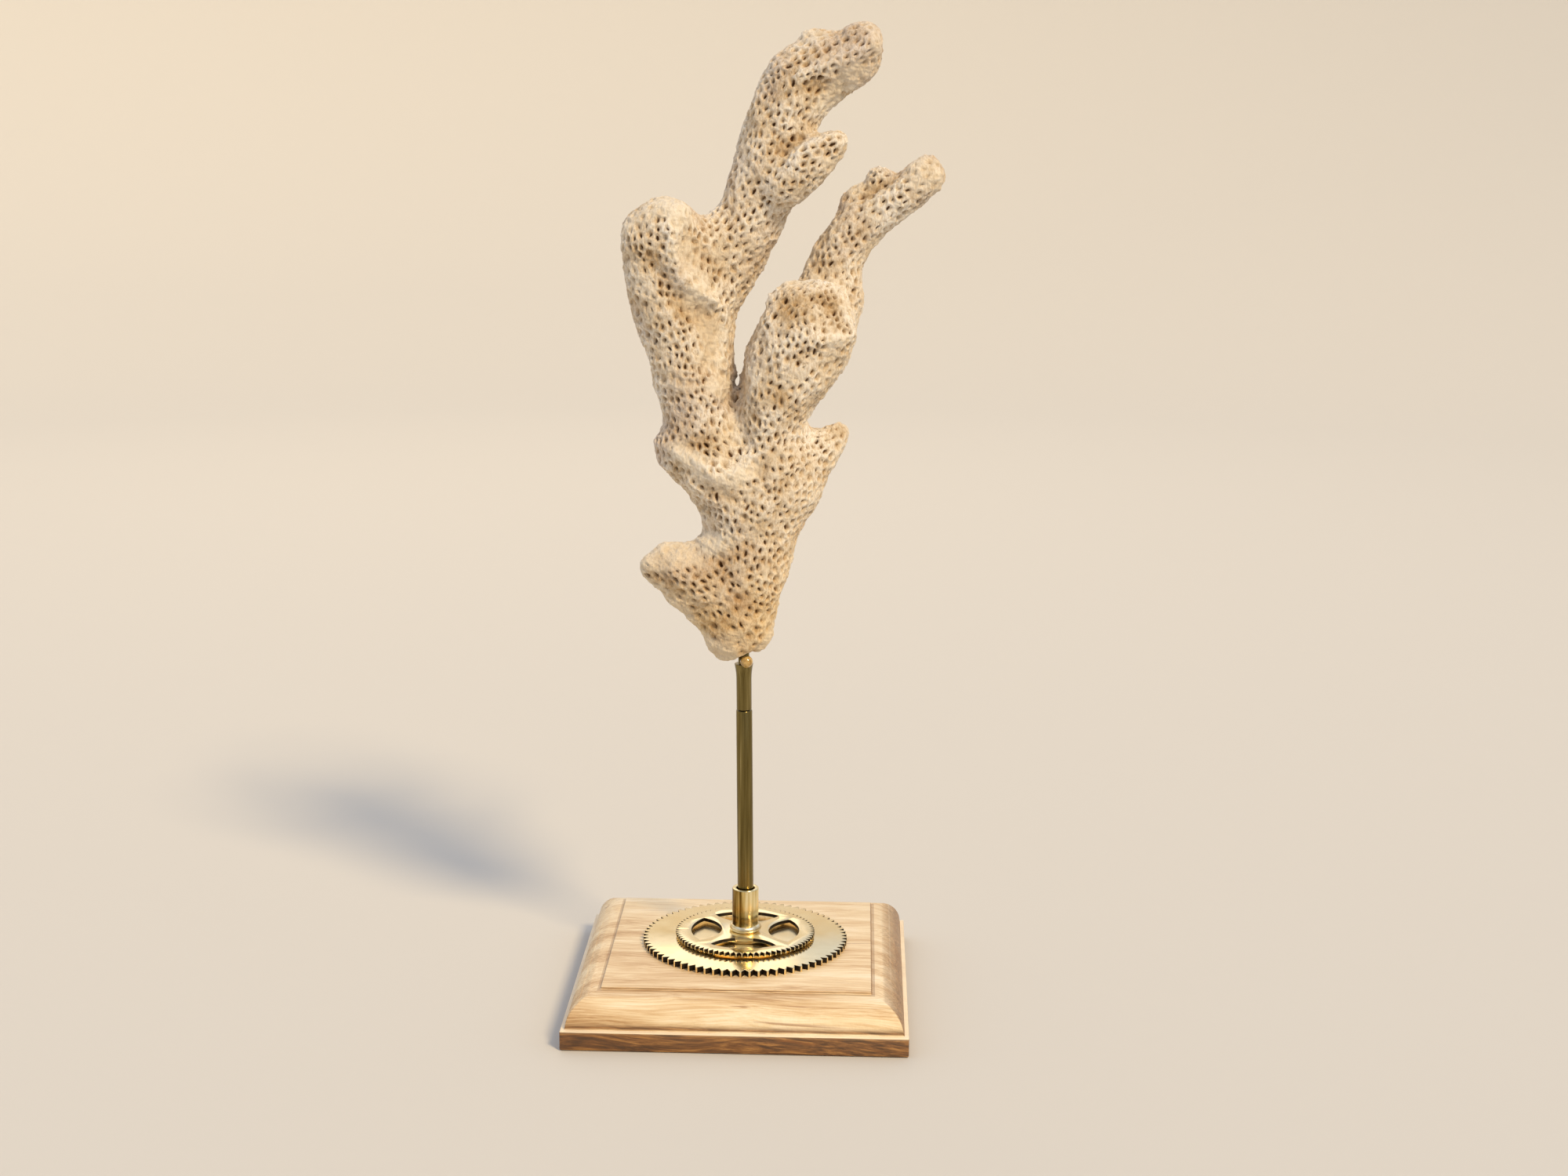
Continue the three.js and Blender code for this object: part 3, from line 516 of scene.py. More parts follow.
def pick_faces(obj, way):
    """In edit mode, selects the faces that look up, or down where the way is -1, and nothing else."""
    mesh = bmesh.from_edit_mesh(obj.data)
    for face in mesh.faces:
        face.select_set(False)
    for face in mesh.faces:
        if face.normal.z * way > LEVEL_FACE:
            face.select_set(True)
    mesh.select_flush(True)
    bmesh.update_edit_mesh(obj.data)


def finish_piece(obj, name, material, slot, *nodes, angle=math.radians(35)):
    """Names the piece, shades it smooth over edges under the angle, gives it its material or materials, and
    hands it to the frame."""
    only(obj)
    obj.name = obj.data.name = name
    obj.data.materials.clear()
    for each in material if isinstance(material, tuple) else (material,):
        obj.data.materials.append(each)
    if angle:
        bpy.ops.object.shade_smooth_by_angle(angle=angle)
    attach(obj, "root")
    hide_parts(*nodes)
    return obj


def tidy_shell(obj):
    """Doubles merged and normals turned outwards."""
    only(obj)
    bpy.ops.object.mode_set(mode="EDIT")
    bpy.ops.mesh.select_all(action="SELECT")
    bpy.ops.mesh.remove_doubles(threshold=0.002 * MM)
    bpy.ops.mesh.normals_make_consistent(inside=False)
    bpy.ops.object.mode_set(mode="OBJECT")
    return obj


def draw_out(height):
    """Extrudes the selected faces up by a height, or down where it is below zero."""
    bpy.ops.mesh.extrude_region_move(TRANSFORM_OT_translate={"value": (0, 0, height)})


def rise(height, ratio, centre):
    """Extrudes the selected top by a height, and scales it about the centre."""
    draw_out(height)
    bpy.ops.transform.resize(value=(ratio, ratio, 1), center_override=centre)


# Plinth


class CORALSTAND_OT_plinth(bpy.types.Operator):
    """Models the square plinth: band, ledge, quarter round and raised panel"""

    bl_idname = "coralstand.plinth"
    bl_label = "Wood Plinth"

    def execute(self, context):
        s = settings().plinth
        low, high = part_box("wood_plinth")
        side = high.x - low.x
        start_clean()
        bpy.ops.mesh.primitive_cube_add(size=1, location=(0, 0, s.band_height / 2))
        plinth = bpy.context.object
        plinth.scale = (side, side, s.band_height)
        into_mesh(plinth)
        bpy.ops.object.mode_set(mode="EDIT")
        pick_faces(plinth, 1)
        bpy.ops.mesh.inset(thickness=s.ledge_width)
        half = side / 2
        base, top = half - s.ledge_width, half - s.panel_inset
        climb = high.z - s.panel_step - s.band_height
        steps = 18
        reach, height = base, 0.0
        for step in range(1, steps + 1):
            turn = step / steps * math.pi / 2
            new_reach, new_height = top + (base - top) * math.cos(turn), climb * math.sin(turn)
            rise(new_height - height, new_reach / reach, (0, 0, 0))
            reach, height = new_reach, new_height
        rise(s.panel_step, 1.0, (0, 0, 0))
        bpy.ops.object.mode_set(mode="OBJECT")
        ease(plinth, s.edge_ease, 3)
        material = make_wood_material()
        finish_piece(plinth, "plinth", material, "plinth_wood", "wood_plinth", angle=math.radians(28))
        return {"FINISHED"}


# Brass

# How late the pin's mouth opens: 1 is a cone, and more is a trumpet
PIN_CURVE = 2.2
# The solder bead's unevenness: the size, number and start of each set of waves round it
BEAD_WAVES = ((0.06, 3, 0.4), (0.045, 7, 2))
# The bead is drawn in by more than the waves are high, so that it stays inside the CAD ring
BEAD_DRAWN_IN = 0.11


def gear_blank(name, teeth, tip, root, tip_half, thickness, centre):
    """A disc whose rim is drawn into pointed teeth: each has its root, and the middle and ends of its tip."""
    start_clean()
    bpy.ops.mesh.primitive_circle_add(vertices=teeth * 4, radius=tip, fill_type="NGON", location=(0, 0, 0))
    gear = bpy.context.object
    pitch = 2 * math.pi / teeth
    offsets = (-0.5, -tip_half, 0.0, tip_half)
    for index, vertex in enumerate(sorted(gear.data.vertices, key=lambda v: math.atan2(v.co.y, v.co.x))):
        tooth, part = divmod(index, 4)
        angle = -math.pi / 2 + (tooth + offsets[part]) * pitch
        reach = root if part == 0 else tip
        vertex.co = (reach * math.cos(angle), reach * math.sin(angle), 0)
    only(gear)
    bpy.ops.object.mode_set(mode="EDIT")
    bpy.ops.mesh.select_all(action="SELECT")
    draw_out(thickness)
    bpy.ops.object.mode_set(mode="OBJECT")
    gear.location = centre
    into_mesh(gear)
    tidy_shell(gear)
    gear.name = name
    return gear


def disc(radius, low, high, x=0.0, y=0.0, sides=128):
    """An upright round solid between two heights."""
    start_clean()
    middle = (x, y, (low + high) / 2)
    bpy.ops.mesh.primitive_cylinder_add(vertices=sides, radius=radius, depth=high - low, location=middle)
    return into_mesh(bpy.context.object)


def combine(target, tool, operation):
    """A boolean that uses the tool up."""
    add_modifier(target, "BOOLEAN", operation=operation, object=tool, solver="EXACT")
    bpy.data.objects.remove(tool)
    return target


class CORALSTAND_OT_gears(bpy.types.Operator):
    """Models the large gear and the windowed small gear on its boss"""

    bl_idname = "coralstand.gears"
    bl_label = "Brass Gears"

    def execute(self, context):
        s = settings().brass
        materials = (make_polished_brass(), make_dark_brass())
        for node, teeth, root in (
            ("large_gear", s.large_teeth, s.large_root),
            ("small_gear", s.small_teeth, s.small_root),
        ):
            low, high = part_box(node)
            middle = (low + high) / 2
            tip = (high.x - low.x) / 2
            thickness = high.z - low.z if node == "large_gear" else s.small_thickness
            under = (middle.x, middle.y, high.z - thickness)
            gear = gear_blank(node, teeth, tip, root, s.tooth_tip, thickness, under)
            if node == "small_gear":
                self.cut_windows(gear, middle, low.z, high.z)
                boss = disc(s.boss_radius, low.z, high.z - thickness / 2, middle.x, middle.y)
                combine(gear, boss, "UNION")
            ease(gear, s.gear_ease, 2, math.radians(30))
            finish_piece(gear, node + "_brass", materials, "polished_brass", node)
            self.oxidise_and_shade_flanks(gear, middle)
        return {"FINISHED"}

    def oxidise_and_shade_flanks(self, gear, middle):
        """The dark brass, painted shade with some tarnish, goes on the walls that don't face straight out:
        tooth flanks and windows.
        """
        wall, straight_out = 0.3, 0.85
        for face in gear.data.polygons:
            out = Vector((face.center.x - middle.x, face.center.y - middle.y)).normalized()
            if abs(face.normal.z) < wall and face.normal.xy.dot(out) < straight_out:
                face.material_index = 1

    def cut_windows(self, gear, middle, low, high):
        """Each window is where the rim's circle and a circle beside the hub overlap."""
        s = settings().brass
        cutters = []
        for quarter in range(4):
            turn = quarter * math.pi / 2
            away = s.window_hub_reach + s.window_hub_arc
            x, y = middle.x + away * math.cos(turn), middle.y + away * math.sin(turn)
            lens = disc(s.window_hub_arc, low - MM, high + MM, x, y)
            rim = disc(s.window_rim, low - 2 * MM, high + 2 * MM, middle.x, middle.y)
            cutters.append(combine(lens, rim, "INTERSECT"))
        for cutter in cutters:
            combine(gear, cutter, "DIFFERENCE")


class CORALSTAND_OT_stem(bpy.types.Operator):
    """Models the solder ring, the collar, the rod and the pin"""

    bl_idname = "coralstand.stem"
    bl_label = "Collar, Rod and Pin"

    def execute(self, context):
        s = settings().brass
        dull = make_rod_brass()
        self.ring(make_solder())
        top = self.collar(s, make_tube_brass())
        self.rod(s, dull, top)
        self.pin(s, dull, top)
        return {"FINISHED"}

    def ring(self, material):
        """A bead of solder around the collar's foot, a little uneven."""
        low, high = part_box("foot_ring")
        middle = (low + high) / 2
        minor = (high.z - low.z) / 2
        major = (high.x - low.x) / 2 - minor
        start_clean()
        bpy.ops.mesh.primitive_torus_add(
            major_segments=96, minor_segments=20, major_radius=major, minor_radius=minor, location=middle,
        )
        bead = into_mesh(bpy.context.object)
        for vertex in bead.data.vertices:
            away = Vector((vertex.co.x - middle.x, vertex.co.y - middle.y, 0))
            turn = math.atan2(away.y, away.x)
            waves = sum(size * math.sin(count * turn + start) for size, count, start in BEAD_WAVES)
            outer = max(away.length - (major - 0.2 * minor), 0)
            vertex.co += away.normalized() * outer * (waves - BEAD_DRAWN_IN)
        finish_piece(bead, "foot_ring_bead", material, "polished_brass", "foot_ring", angle=math.radians(80))

    def collar(self, s, material):
        """A thick tube with eased rims, bored to take the rod."""
        low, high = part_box("rod_collar")
        middle = (low + high) / 2
        tube = disc((high.x - low.x) / 2, low.z, high.z, middle.x, middle.y, 96)
        only(tube)
        bpy.ops.object.mode_set(mode="EDIT")
        pick_faces(tube, 1)
        bpy.ops.mesh.inset(thickness=(high.x - low.x) / 2 - s.collar_bore)
        draw_out(low.z + s.collar_floor - high.z)
        bpy.ops.object.mode_set(mode="OBJECT")
        ease(tube, s.collar_ease, 4)
        finish_piece(tube, "collar_tube", material, "polished_brass", "rod_collar")
        return Vector((middle.x, middle.y, high.z))

    def lean(self, s, piece, top):
        """The rod's line leans left about the collar's mouth."""
        turn = Matrix.Rotation(-s.rod_lean, 4, "Y")
        piece.data.transform(Matrix.Translation(top) @ turn @ Matrix.Translation(-top))

    def rod(self, s, material, top):
        """A plain round length with a socket in its top."""
        low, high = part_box("support_rod")
        rod = disc(s.rod_radius, low.z + s.lean_gap, s.rod_top, top.x, top.y, 64)
        only(rod)
        bpy.ops.object.mode_set(mode="EDIT")
        pick_faces(rod, 1)
        bpy.ops.mesh.inset(thickness=s.rod_radius - s.socket_radius)
        draw_out(-s.socket_depth)
        bpy.ops.object.mode_set(mode="OBJECT")
        ease(rod, s.rod_ease, 3)
        self.lean(s, rod, top)
        finish_piece(rod, "rod_brass_length", material, "rod_brass", "support_rod")

    def pin(self, s, material, top):
        """Slimmer than the rod, then opening like a trumpet under the coral."""
        pin = disc(s.pin_radius, s.rod_top + s.joint_gap, s.pin_mouth - s.pin_flare, top.x, top.y, 64)
        only(pin)
        bpy.ops.object.mode_set(mode="EDIT")
        pick_faces(pin, 1)
        radius, steps = s.pin_radius, 8
        for step in range(1, steps + 1):
            wider = s.pin_radius + (s.pin_mouth_radius - s.pin_radius) * (step / steps) ** PIN_CURVE
            rise(s.pin_flare / steps, wider / radius, (top.x, top.y, 0))
            radius = wider
        bpy.ops.mesh.inset(thickness=radius - s.spigot_radius)
        draw_out(s.spigot_length)
        pick_faces(pin, -1)
        bpy.ops.mesh.inset(thickness=s.pin_radius - s.lower_spigot_radius)
        draw_out(-s.lower_spigot_length)
        bpy.ops.object.mode_set(mode="OBJECT")
        ease(pin, s.pin_ease, 2)
        self.lean(s, pin, top)
        finish_piece(pin, "pin_brass_length", material, "rod_brass", "coral_pin")


# Coral

# Low lumps all over the skin: how high, how far across in mm, and the seed
LUMPS = ((0.3, 11, 3), (0.25, 5, 4))
# The skin is lowered by this before it is sculpted, in mm, so that its ridges stay close to the CAD
SKIN_LOWERED = 0.15
# A rubbed place fades out between these shares of its reach
RUBBED_FADE = (0.55, 1.35)
# The pores' spread, each between two shares: how fresh and wide they are, how drawn out, and how deep the
# bowls round them
PORE_FRESHNESS = (0.5, 1.0)
PORE_WIDTHS = (0.8, 1.3)
PORE_STRETCHES = (0.5, 1.4)
PORE_BOWLS = (0.1, 1.5)
# How far the pores turn out of the growth's line, in radians
PORE_TURN = 0.35
# A pore's rim has lobes of these numbers, each up to this share of its size
RIM_LOBES = (2, 3, 5)
RIM_LOBE_SIZE = 0.12
# A pore changes nothing further away than this, in mm, and its bowl ends at this share of the pores' gap
PORE_REACH = 3.0
BOWL_END = 1.1
# How often the split between the pieces is evened out, and what a face's own piece counts for against each
# neighbour's
EVENING_ROUNDS = 12
OWN_VOTE = 1.5


def cad_copy(node):
    """A merged copy of a CAD node's mesh."""
    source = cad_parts[node]
    copy = bpy.data.objects.new(node + "_copy", source.data.copy())
    bpy.context.scene.collection.objects.link(copy)
    copy.data.materials.clear()
    tidy = bmesh.new()
    tidy.from_mesh(copy.data)
    bmesh.ops.remove_doubles(tidy, verts=tidy.verts, dist=0.01 * MM)
    tidy.to_mesh(copy.data)
    tidy.free()
    return copy


def points_of(mesh):
    """Vertex places and normals, as arrays in mm from the coral's foot."""
    count = len(mesh.vertices)
    places, normals = np.empty(count * 3), np.empty(count * 3)
    mesh.vertices.foreach_get("co", places)
    mesh.vertices.foreach_get("normal", normals)
    return places.reshape(-1, 3) / MM - CORAL_FOOT, normals.reshape(-1, 3)


def keep_values(mesh, name, values):
    """Stores a number at each vertex, for the material to read."""
    mesh.attributes.new(name, "FLOAT", "POINT").data.foreach_set("value", values.astype(np.float32))


def put_points(mesh, places):
    mesh.vertices.foreach_set("co", ((places + CORAL_FOOT) * MM).ravel())
    mesh.update()


def smooth_step(low, high, value):
    t = np.clip((value - low) / (high - low), 0, 1)
    return t * t * (3 - 2 * t)


def line_distance(places, line):
    """Distance of each place to a line of points."""
    nearest = np.full(len(places), 1e9)
    points = [np.array(p, float) for p in line]
    for a, b in zip(points, points[1:] or points):
        ab = b - a
        t = np.clip((places - a) @ ab / max(ab @ ab, 1e-9), 0, 1)
        nearest = np.minimum(nearest, np.linalg.norm(places - a - t[:, None] * ab, axis=1))
    return nearest


def growth_at(places):
    """The way the nearest limb grows, at each place."""
    total, weight_sum = np.zeros_like(places), np.zeros(len(places))
    for line in GROWTH_LINES:
        points = [np.array(p, float) for p in line]
        for a, b in zip(points, points[1:]):
            ab = b - a
            t = np.clip((places - a) @ ab / (ab @ ab), 0, 1)
            away = np.linalg.norm(places - a - t[:, None] * ab, axis=1)
            weight = 1 / (away + 0.5) ** 6
            total += weight[:, None] * ab / np.linalg.norm(ab)
            weight_sum += weight
    return total / np.linalg.norm(total, axis=1)[:, None]


def drift(places, size, seed):
    """A smooth random field, mostly between -1 and 1, whose swells are about this size in mm."""
    rng = np.random.default_rng(seed)
    total = np.zeros(len(places))
    for _ in range(8):
        way = rng.normal(size=3)
        way *= 2 * math.pi / size * rng.uniform(0.7, 1.3) / np.linalg.norm(way)
        total += np.sin(places @ way + rng.uniform(0, 2 * math.pi))
    return total / 3


def scatter_pores(places, growth, spread, gap_along, gap_across, seed):
    """Vertices picked so that no two are nearer than the gaps, which are longer along the growth."""
    order = np.random.default_rng(seed).permutation(len(places))
    cell = max(gap_along, gap_across) * spread.max()
    keys = np.floor(places / cell).astype(int)
    near = [(i, j, k) for i in (-1, 0, 1) for j in (-1, 0, 1) for k in (-1, 0, 1)]
    taken, picked = {}, []
    spots, ways, spreads = places.tolist(), growth.tolist(), spread.tolist()
    for index in order.tolist():
        x, y, z = spots[index]
        gx, gy, gz = ways[index]
        along_gap, across_gap = (gap_along * spreads[index]) ** 2, (gap_across * spreads[index]) ** 2
        key = tuple(keys[index])
        free = True
        for i, j, k in near:
            for other in taken.get((key[0] + i, key[1] + j, key[2] + k), ()):
                dx, dy, dz = x - other[0], y - other[1], z - other[2]
                along = (dx * gx + dy * gy + dz * gz) ** 2
                across = dx * dx + dy * dy + dz * dz - along
                if along / along_gap + across / across_gap < 1:
                    free = False
                    break
            if not free:
                break
        if free:
            picked.append(index)
            taken.setdefault(key, []).append((x, y, z))
    return np.array(picked)


class CORALSTAND_OT_coral(bpy.types.Operator):
    """Grows the coral's skin over the CAD limbs, sinks its pores and splits it at the forks"""

    bl_idname = "coralstand.coral"
    bl_label = "Branching Coral"

    def execute(self, context):
        s = settings().coral
        skin = self.fused_skin(s)
        mesh = skin.data
        places, normals = points_of(mesh)
        worn = self.worn_at(places)
        places, pit, wall = self.sink_pores(s, places, normals, worn)
        put_points(mesh, places)
        for name, values in (("wall", wall), ("worn", worn), ("pit", pit)):
            keep_values(mesh, name, values)
        self.split(skin, make_coral_material())
        return {"FINISHED"}

    def fused_skin(self, s):
        """One skin over all the limbs: the copies swell shut over the seams, are remeshed and shrink back."""
        copies = [cad_copy(node) for node in CORAL_NODES]
        for copy in copies:
            add_modifier(copy, "DISPLACE", strength=s.seam_swell, mid_level=0.0)
        start_clean()
        for copy in copies:
            copy.select_set(True)
        bpy.context.view_layer.objects.active = copies[0]
        bpy.ops.object.join()
        skin = copies[0]
        add_modifier(skin, "REMESH", mode="VOXEL", voxel_size=s.skin_cell)
        add_modifier(skin, "SMOOTH", factor=0.5, iterations=14)
        add_modifier(skin, "DISPLACE", strength=-s.seam_swell * 0.3, mid_level=0.0)
        self.sculpt(skin.data)
        levels = 2
        add_modifier(skin, "SUBSURF", levels=levels, render_levels=levels)
        return skin

    def sculpt(self, mesh):
        """Draws the ridges and hollows out of the skin, and keeps how far they stand out, which the colour
        turns into painted light on the ridges and painted shade in the hollows.
        """
        places, normals = points_of(mesh)
        lift = sum(height * drift(places, size, seed) for height, size, seed in LUMPS)
        for line, height, reach in STROKES:
            lift += height * np.exp(-(line_distance(places, line) / reach) ** 2)
        put_points(mesh, places + normals * (lift - SKIN_LOWERED)[:, None])
        keep_values(mesh, "relief", np.clip(lift, -1, 1.2))

    def worn_at(self, places):
        """0 on fresh skin and 1 where it is rubbed pale: the places listed, and more here and there."""
        worn = np.zeros(len(places))
        start, end = RUBBED_FADE
        edge = 1 + 0.25 * drift(places, 6, 5)
        for line, amount, reach in RUBBED:
            away = line_distance(places, line) * edge
            worn = np.maximum(worn, amount * (1 - smooth_step(start * reach, end * reach, away)))
        return np.clip(worn + 0.4 * smooth_step(0.2, 1.2, drift(places, 13, 6)), 0, 1)

    def sink_pores(self, s, places, normals, worn):
        """Sinks a shallow bowl with a deep oval pore in it at each pore's place.

        Returns the moved places, how deep in a pore each is, and how near the crest between two bowls, raised
        at each pore's lower lip; the material paints this last value pale against painted shade in the bowls,
        and pale on the lips as a painted highlight.
        """
        growth = growth_at(places)
        # the pores stand wider apart near the foot and where the skin is rubbed
        near_foot = 1 - smooth_step(4, 26, places[:, 2])
        spread = 1 + 0.45 * near_foot + 0.15 * worn + 0.16 * drift(places, 6, 7)
        picked = scatter_pores(places, growth, spread, s.pore_gap_along / MM, s.pore_gap_across / MM, s.seed)
        pore_of, vertex_of = self.pairs_near(places, picked)
        rng = np.random.default_rng(s.seed + 1)
        count = len(picked)
        along, across, lie = self.pore_axes(growth[picked], normals[picked], rng.normal(0, PORE_TURN, count))
        fresh = (1 - 0.8 * worn[picked]) * rng.uniform(*PORE_FRESHNESS, count)
        half_width = 0.5 * s.pore_width / MM * rng.uniform(*PORE_WIDTHS, count) * (0.7 + 0.3 * fresh)
        half_length = half_width * (1 + (s.pore_stretch - 1) * lie * rng.uniform(*PORE_STRETCHES, count))
        depth = s.pore_depth / MM * fresh
        # each vertex's place in its pore's own axes: u along the growth and v across it
        offset = places[vertex_of] - places[picked][pore_of]
        u = (offset * along[pore_of]).sum(1)
        v = (offset * across[pore_of]).sum(1)
        apart = np.hypot(u / s.pore_gap_along, v / s.pore_gap_across) * MM
        # the pore's rim is where ring is 1, an oval with a few uneven lobes
        turn = np.arctan2(v, u)
        wobble = np.ones(len(u))
        for lobes in RIM_LOBES:
            size, start = rng.uniform(0, RIM_LOBE_SIZE, count), rng.uniform(0, 2 * math.pi, count)
            wobble += size[pore_of] * np.cos(lobes * turn + start[pore_of])
        ring = np.hypot(u / half_length[pore_of], v / half_width[pore_of]) * wobble
        # the wall's crest is where the nearest pore is no nearer than the second
        near, second = (np.full(len(places), BOWL_END) for _ in range(2))
        np.minimum.at(near, vertex_of, apart)
        nearest = np.zeros(len(places), int)
        mine = apart <= near[vertex_of]
        nearest[vertex_of[mine]] = pore_of[mine]
        bowls = rng.uniform(*PORE_BOWLS, count)[nearest]
        other = apart > near[vertex_of] + 1e-9
        np.minimum.at(second, vertex_of[other], apart[other])
        wall = smooth_step(0.45, 1.0, 2 * near / (near + np.maximum(second, near)))
        sink, pit, lip = (np.zeros(len(places)) for _ in range(3))
        np.maximum.at(sink, vertex_of, (1 - smooth_step(0.45, 1.1, ring)) * depth[pore_of])
        np.maximum.at(pit, vertex_of, (1 - smooth_step(0.45, 1.05, ring)) * fresh[pore_of])
        # the lower edge of each pore stands out a little, like the edge of a scale
        outside = smooth_step(0.9, 1.2, ring) * (1 - smooth_step(1.3, 1.9, ring))
        np.maximum.at(lip, vertex_of, np.clip(-u / half_length[pore_of], 0, 1) * outside * fresh[pore_of])
        bowl = s.bowl_depth / MM * (1 - wall) * (1 - 0.6 * worn) * bowls
        rough = (0.08 * drift(places, 2.4, 8) + 0.05 * drift(places, 1.3, 9)) * (1 + 0.7 * worn)
        rim = s.rim_height / MM * (1.6 * lip + wall * (1 - worn)) * (1 - pit)
        moved = places - normals * (rough + sink + bowl - rim)[:, None]
        # the third value is painted pale by the material: the crests against painted shade in the bowls, and
        # the lower lips as a painted highlight
        return moved, pit, np.maximum(1 - (1 - wall) * bowls / PORE_BOWLS[1], 0.9 * lip)

    def pairs_near(self, places, picked):
        """Each pore with each vertex in its reach, as two lists of numbers."""
        tree = kdtree.KDTree(len(places))
        for index, place in enumerate(places.tolist()):
            tree.insert(place, index)
        tree.balance()
        pore_of, vertex_of = [], []
        for number, index in enumerate(picked.tolist()):
            found = [hit[1] for hit in tree.find_range(places[index].tolist(), PORE_REACH)]
            vertex_of.extend(found)
            pore_of.extend([number] * len(found))
        return np.array(pore_of), np.array(vertex_of)

    def pore_axes(self, growth, way, turn):
        """The directions along and across each pore, and how flat the growth lies to the skin there."""
        along = growth - (growth * way).sum(1)[:, None] * way
        lie = np.clip(np.linalg.norm(along, axis=1), 1e-6, 1)
        along /= np.linalg.norm(along, axis=1)[:, None] + 1e-9
        across = np.cross(way, along)
        cosine, sine = np.cos(turn)[:, None], np.sin(turn)[:, None]
        return along * cosine + across * sine, across * cosine - along * sine, lie

    def split(self, skin, material):
        """Each face goes to the CAD node that it lies nearest, and each piece is closed across its forks."""
        mesh = skin.data
        count = len(mesh.polygons)
        corners = np.empty(len(mesh.loops), int)
        mesh.loops.foreach_get("vertex_index", corners)
        corners = corners.reshape(count, 4)
        places = np.empty(len(mesh.vertices) * 3)
        mesh.vertices.foreach_get("co", places)
        places = places.reshape(-1, 3)
        owner = self.owners(places[corners].mean(1), corners)
        kept = {name: np.empty(len(places), np.float32) for name in SKIN_ATTRIBUTES}
        for name, values in kept.items():
            mesh.attributes[name].data.foreach_get("value", values)
        for number, node in enumerate(CORAL_NODES):
            faces = corners[owner == number]
            used, inverse = np.unique(faces, return_inverse=True)
            piece_mesh = bpy.data.meshes.new(node + "_skin")
            piece_mesh.from_pydata(places[used].tolist(), [], inverse.reshape(faces.shape).tolist())
            for name, values in kept.items():
                keep_values(piece_mesh, name, values[used])
            self.close(piece_mesh)
            piece = bpy.data.objects.new(node + "_skin", piece_mesh)
            bpy.context.scene.collection.objects.link(piece)
            finish_piece(piece, node + "_skin", material, "coral_stone", node, angle=None)
        bpy.data.objects.remove(skin)

    def owners(self, centres, corners):
        """The nearest CAD node of each face, then evened out among neighbours, so that no face is stray."""
        points, triangles, node_of = [], [], []
        for number, node in enumerate(CORAL_NODES):
            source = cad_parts[node].data
            base = len(points)
            points.extend(v.co.copy() for v in source.vertices)
            for face in source.polygons:
                triangles.append([base + i for i in face.vertices])
                node_of.append(number)
        search = BVHTree.FromPolygons(points, triangles)
        owner = np.array([node_of[search.find_nearest(c)[2]] for c in map(Vector, centres.tolist())])
        edges = np.sort(np.stack([corners, np.roll(corners, -1, 1)], 2).reshape(-1, 2), 1)
        face_of = np.repeat(np.arange(len(corners)), 4)
        order = np.lexsort((edges[:, 1], edges[:, 0]))
        edges, face_of = edges[order], face_of[order]
        same = (edges[1:] == edges[:-1]).all(1)
        one, two = face_of[:-1][same], face_of[1:][same]
        for _ in range(EVENING_ROUNDS):
            votes = np.zeros((len(CORAL_NODES), len(corners)))
            votes[owner, np.arange(len(corners))] += OWN_VOTE
            np.add.at(votes, (owner[one], two), 1)
            np.add.at(votes, (owner[two], one), 1)
            owner = votes.argmax(0)
        return owner

    def close(self, mesh):
        """Fills the openings that the split left, with a hard edge so that the skin's shading stays."""
        shell = bmesh.new()
        shell.from_mesh(mesh)
        for face in shell.faces:
            face.smooth = True
        open_edges = [edge for edge in shell.edges if edge.is_boundary]
        bmesh.ops.holes_fill(shell, edges=open_edges, sides=0)
        for edge in open_edges:
            edge.smooth = False
        shell.to_mesh(mesh)
        shell.free()


class CORALSTAND_OT_glue(bpy.types.Operator):
    """Models the set drop of glue between the coral's bottom lobes"""

    bl_idname = "coralstand.glue"
    bl_label = "Glue Drop"

    def execute(self, context):
        drop = cad_copy("glue_dab")
        add_modifier(drop, "REMESH", mode="VOXEL", voxel_size=settings().coral.glue_cell)
        add_modifier(drop, "SMOOTH", factor=0.5, iterations=6)
        material = make_glue_material()
        finish_piece(drop, "glue_drop", material, "dried_glue", "glue_dab", angle=math.radians(80))
        return {"FINISHED"}


# Studio

# Where the lamps point, in metres: low on the coral's trunk
LAMP_AIM = Vector((0, 0, 0.13))
# The lens is given over a film frame this wide, in mm
FILM_WIDTH = 36


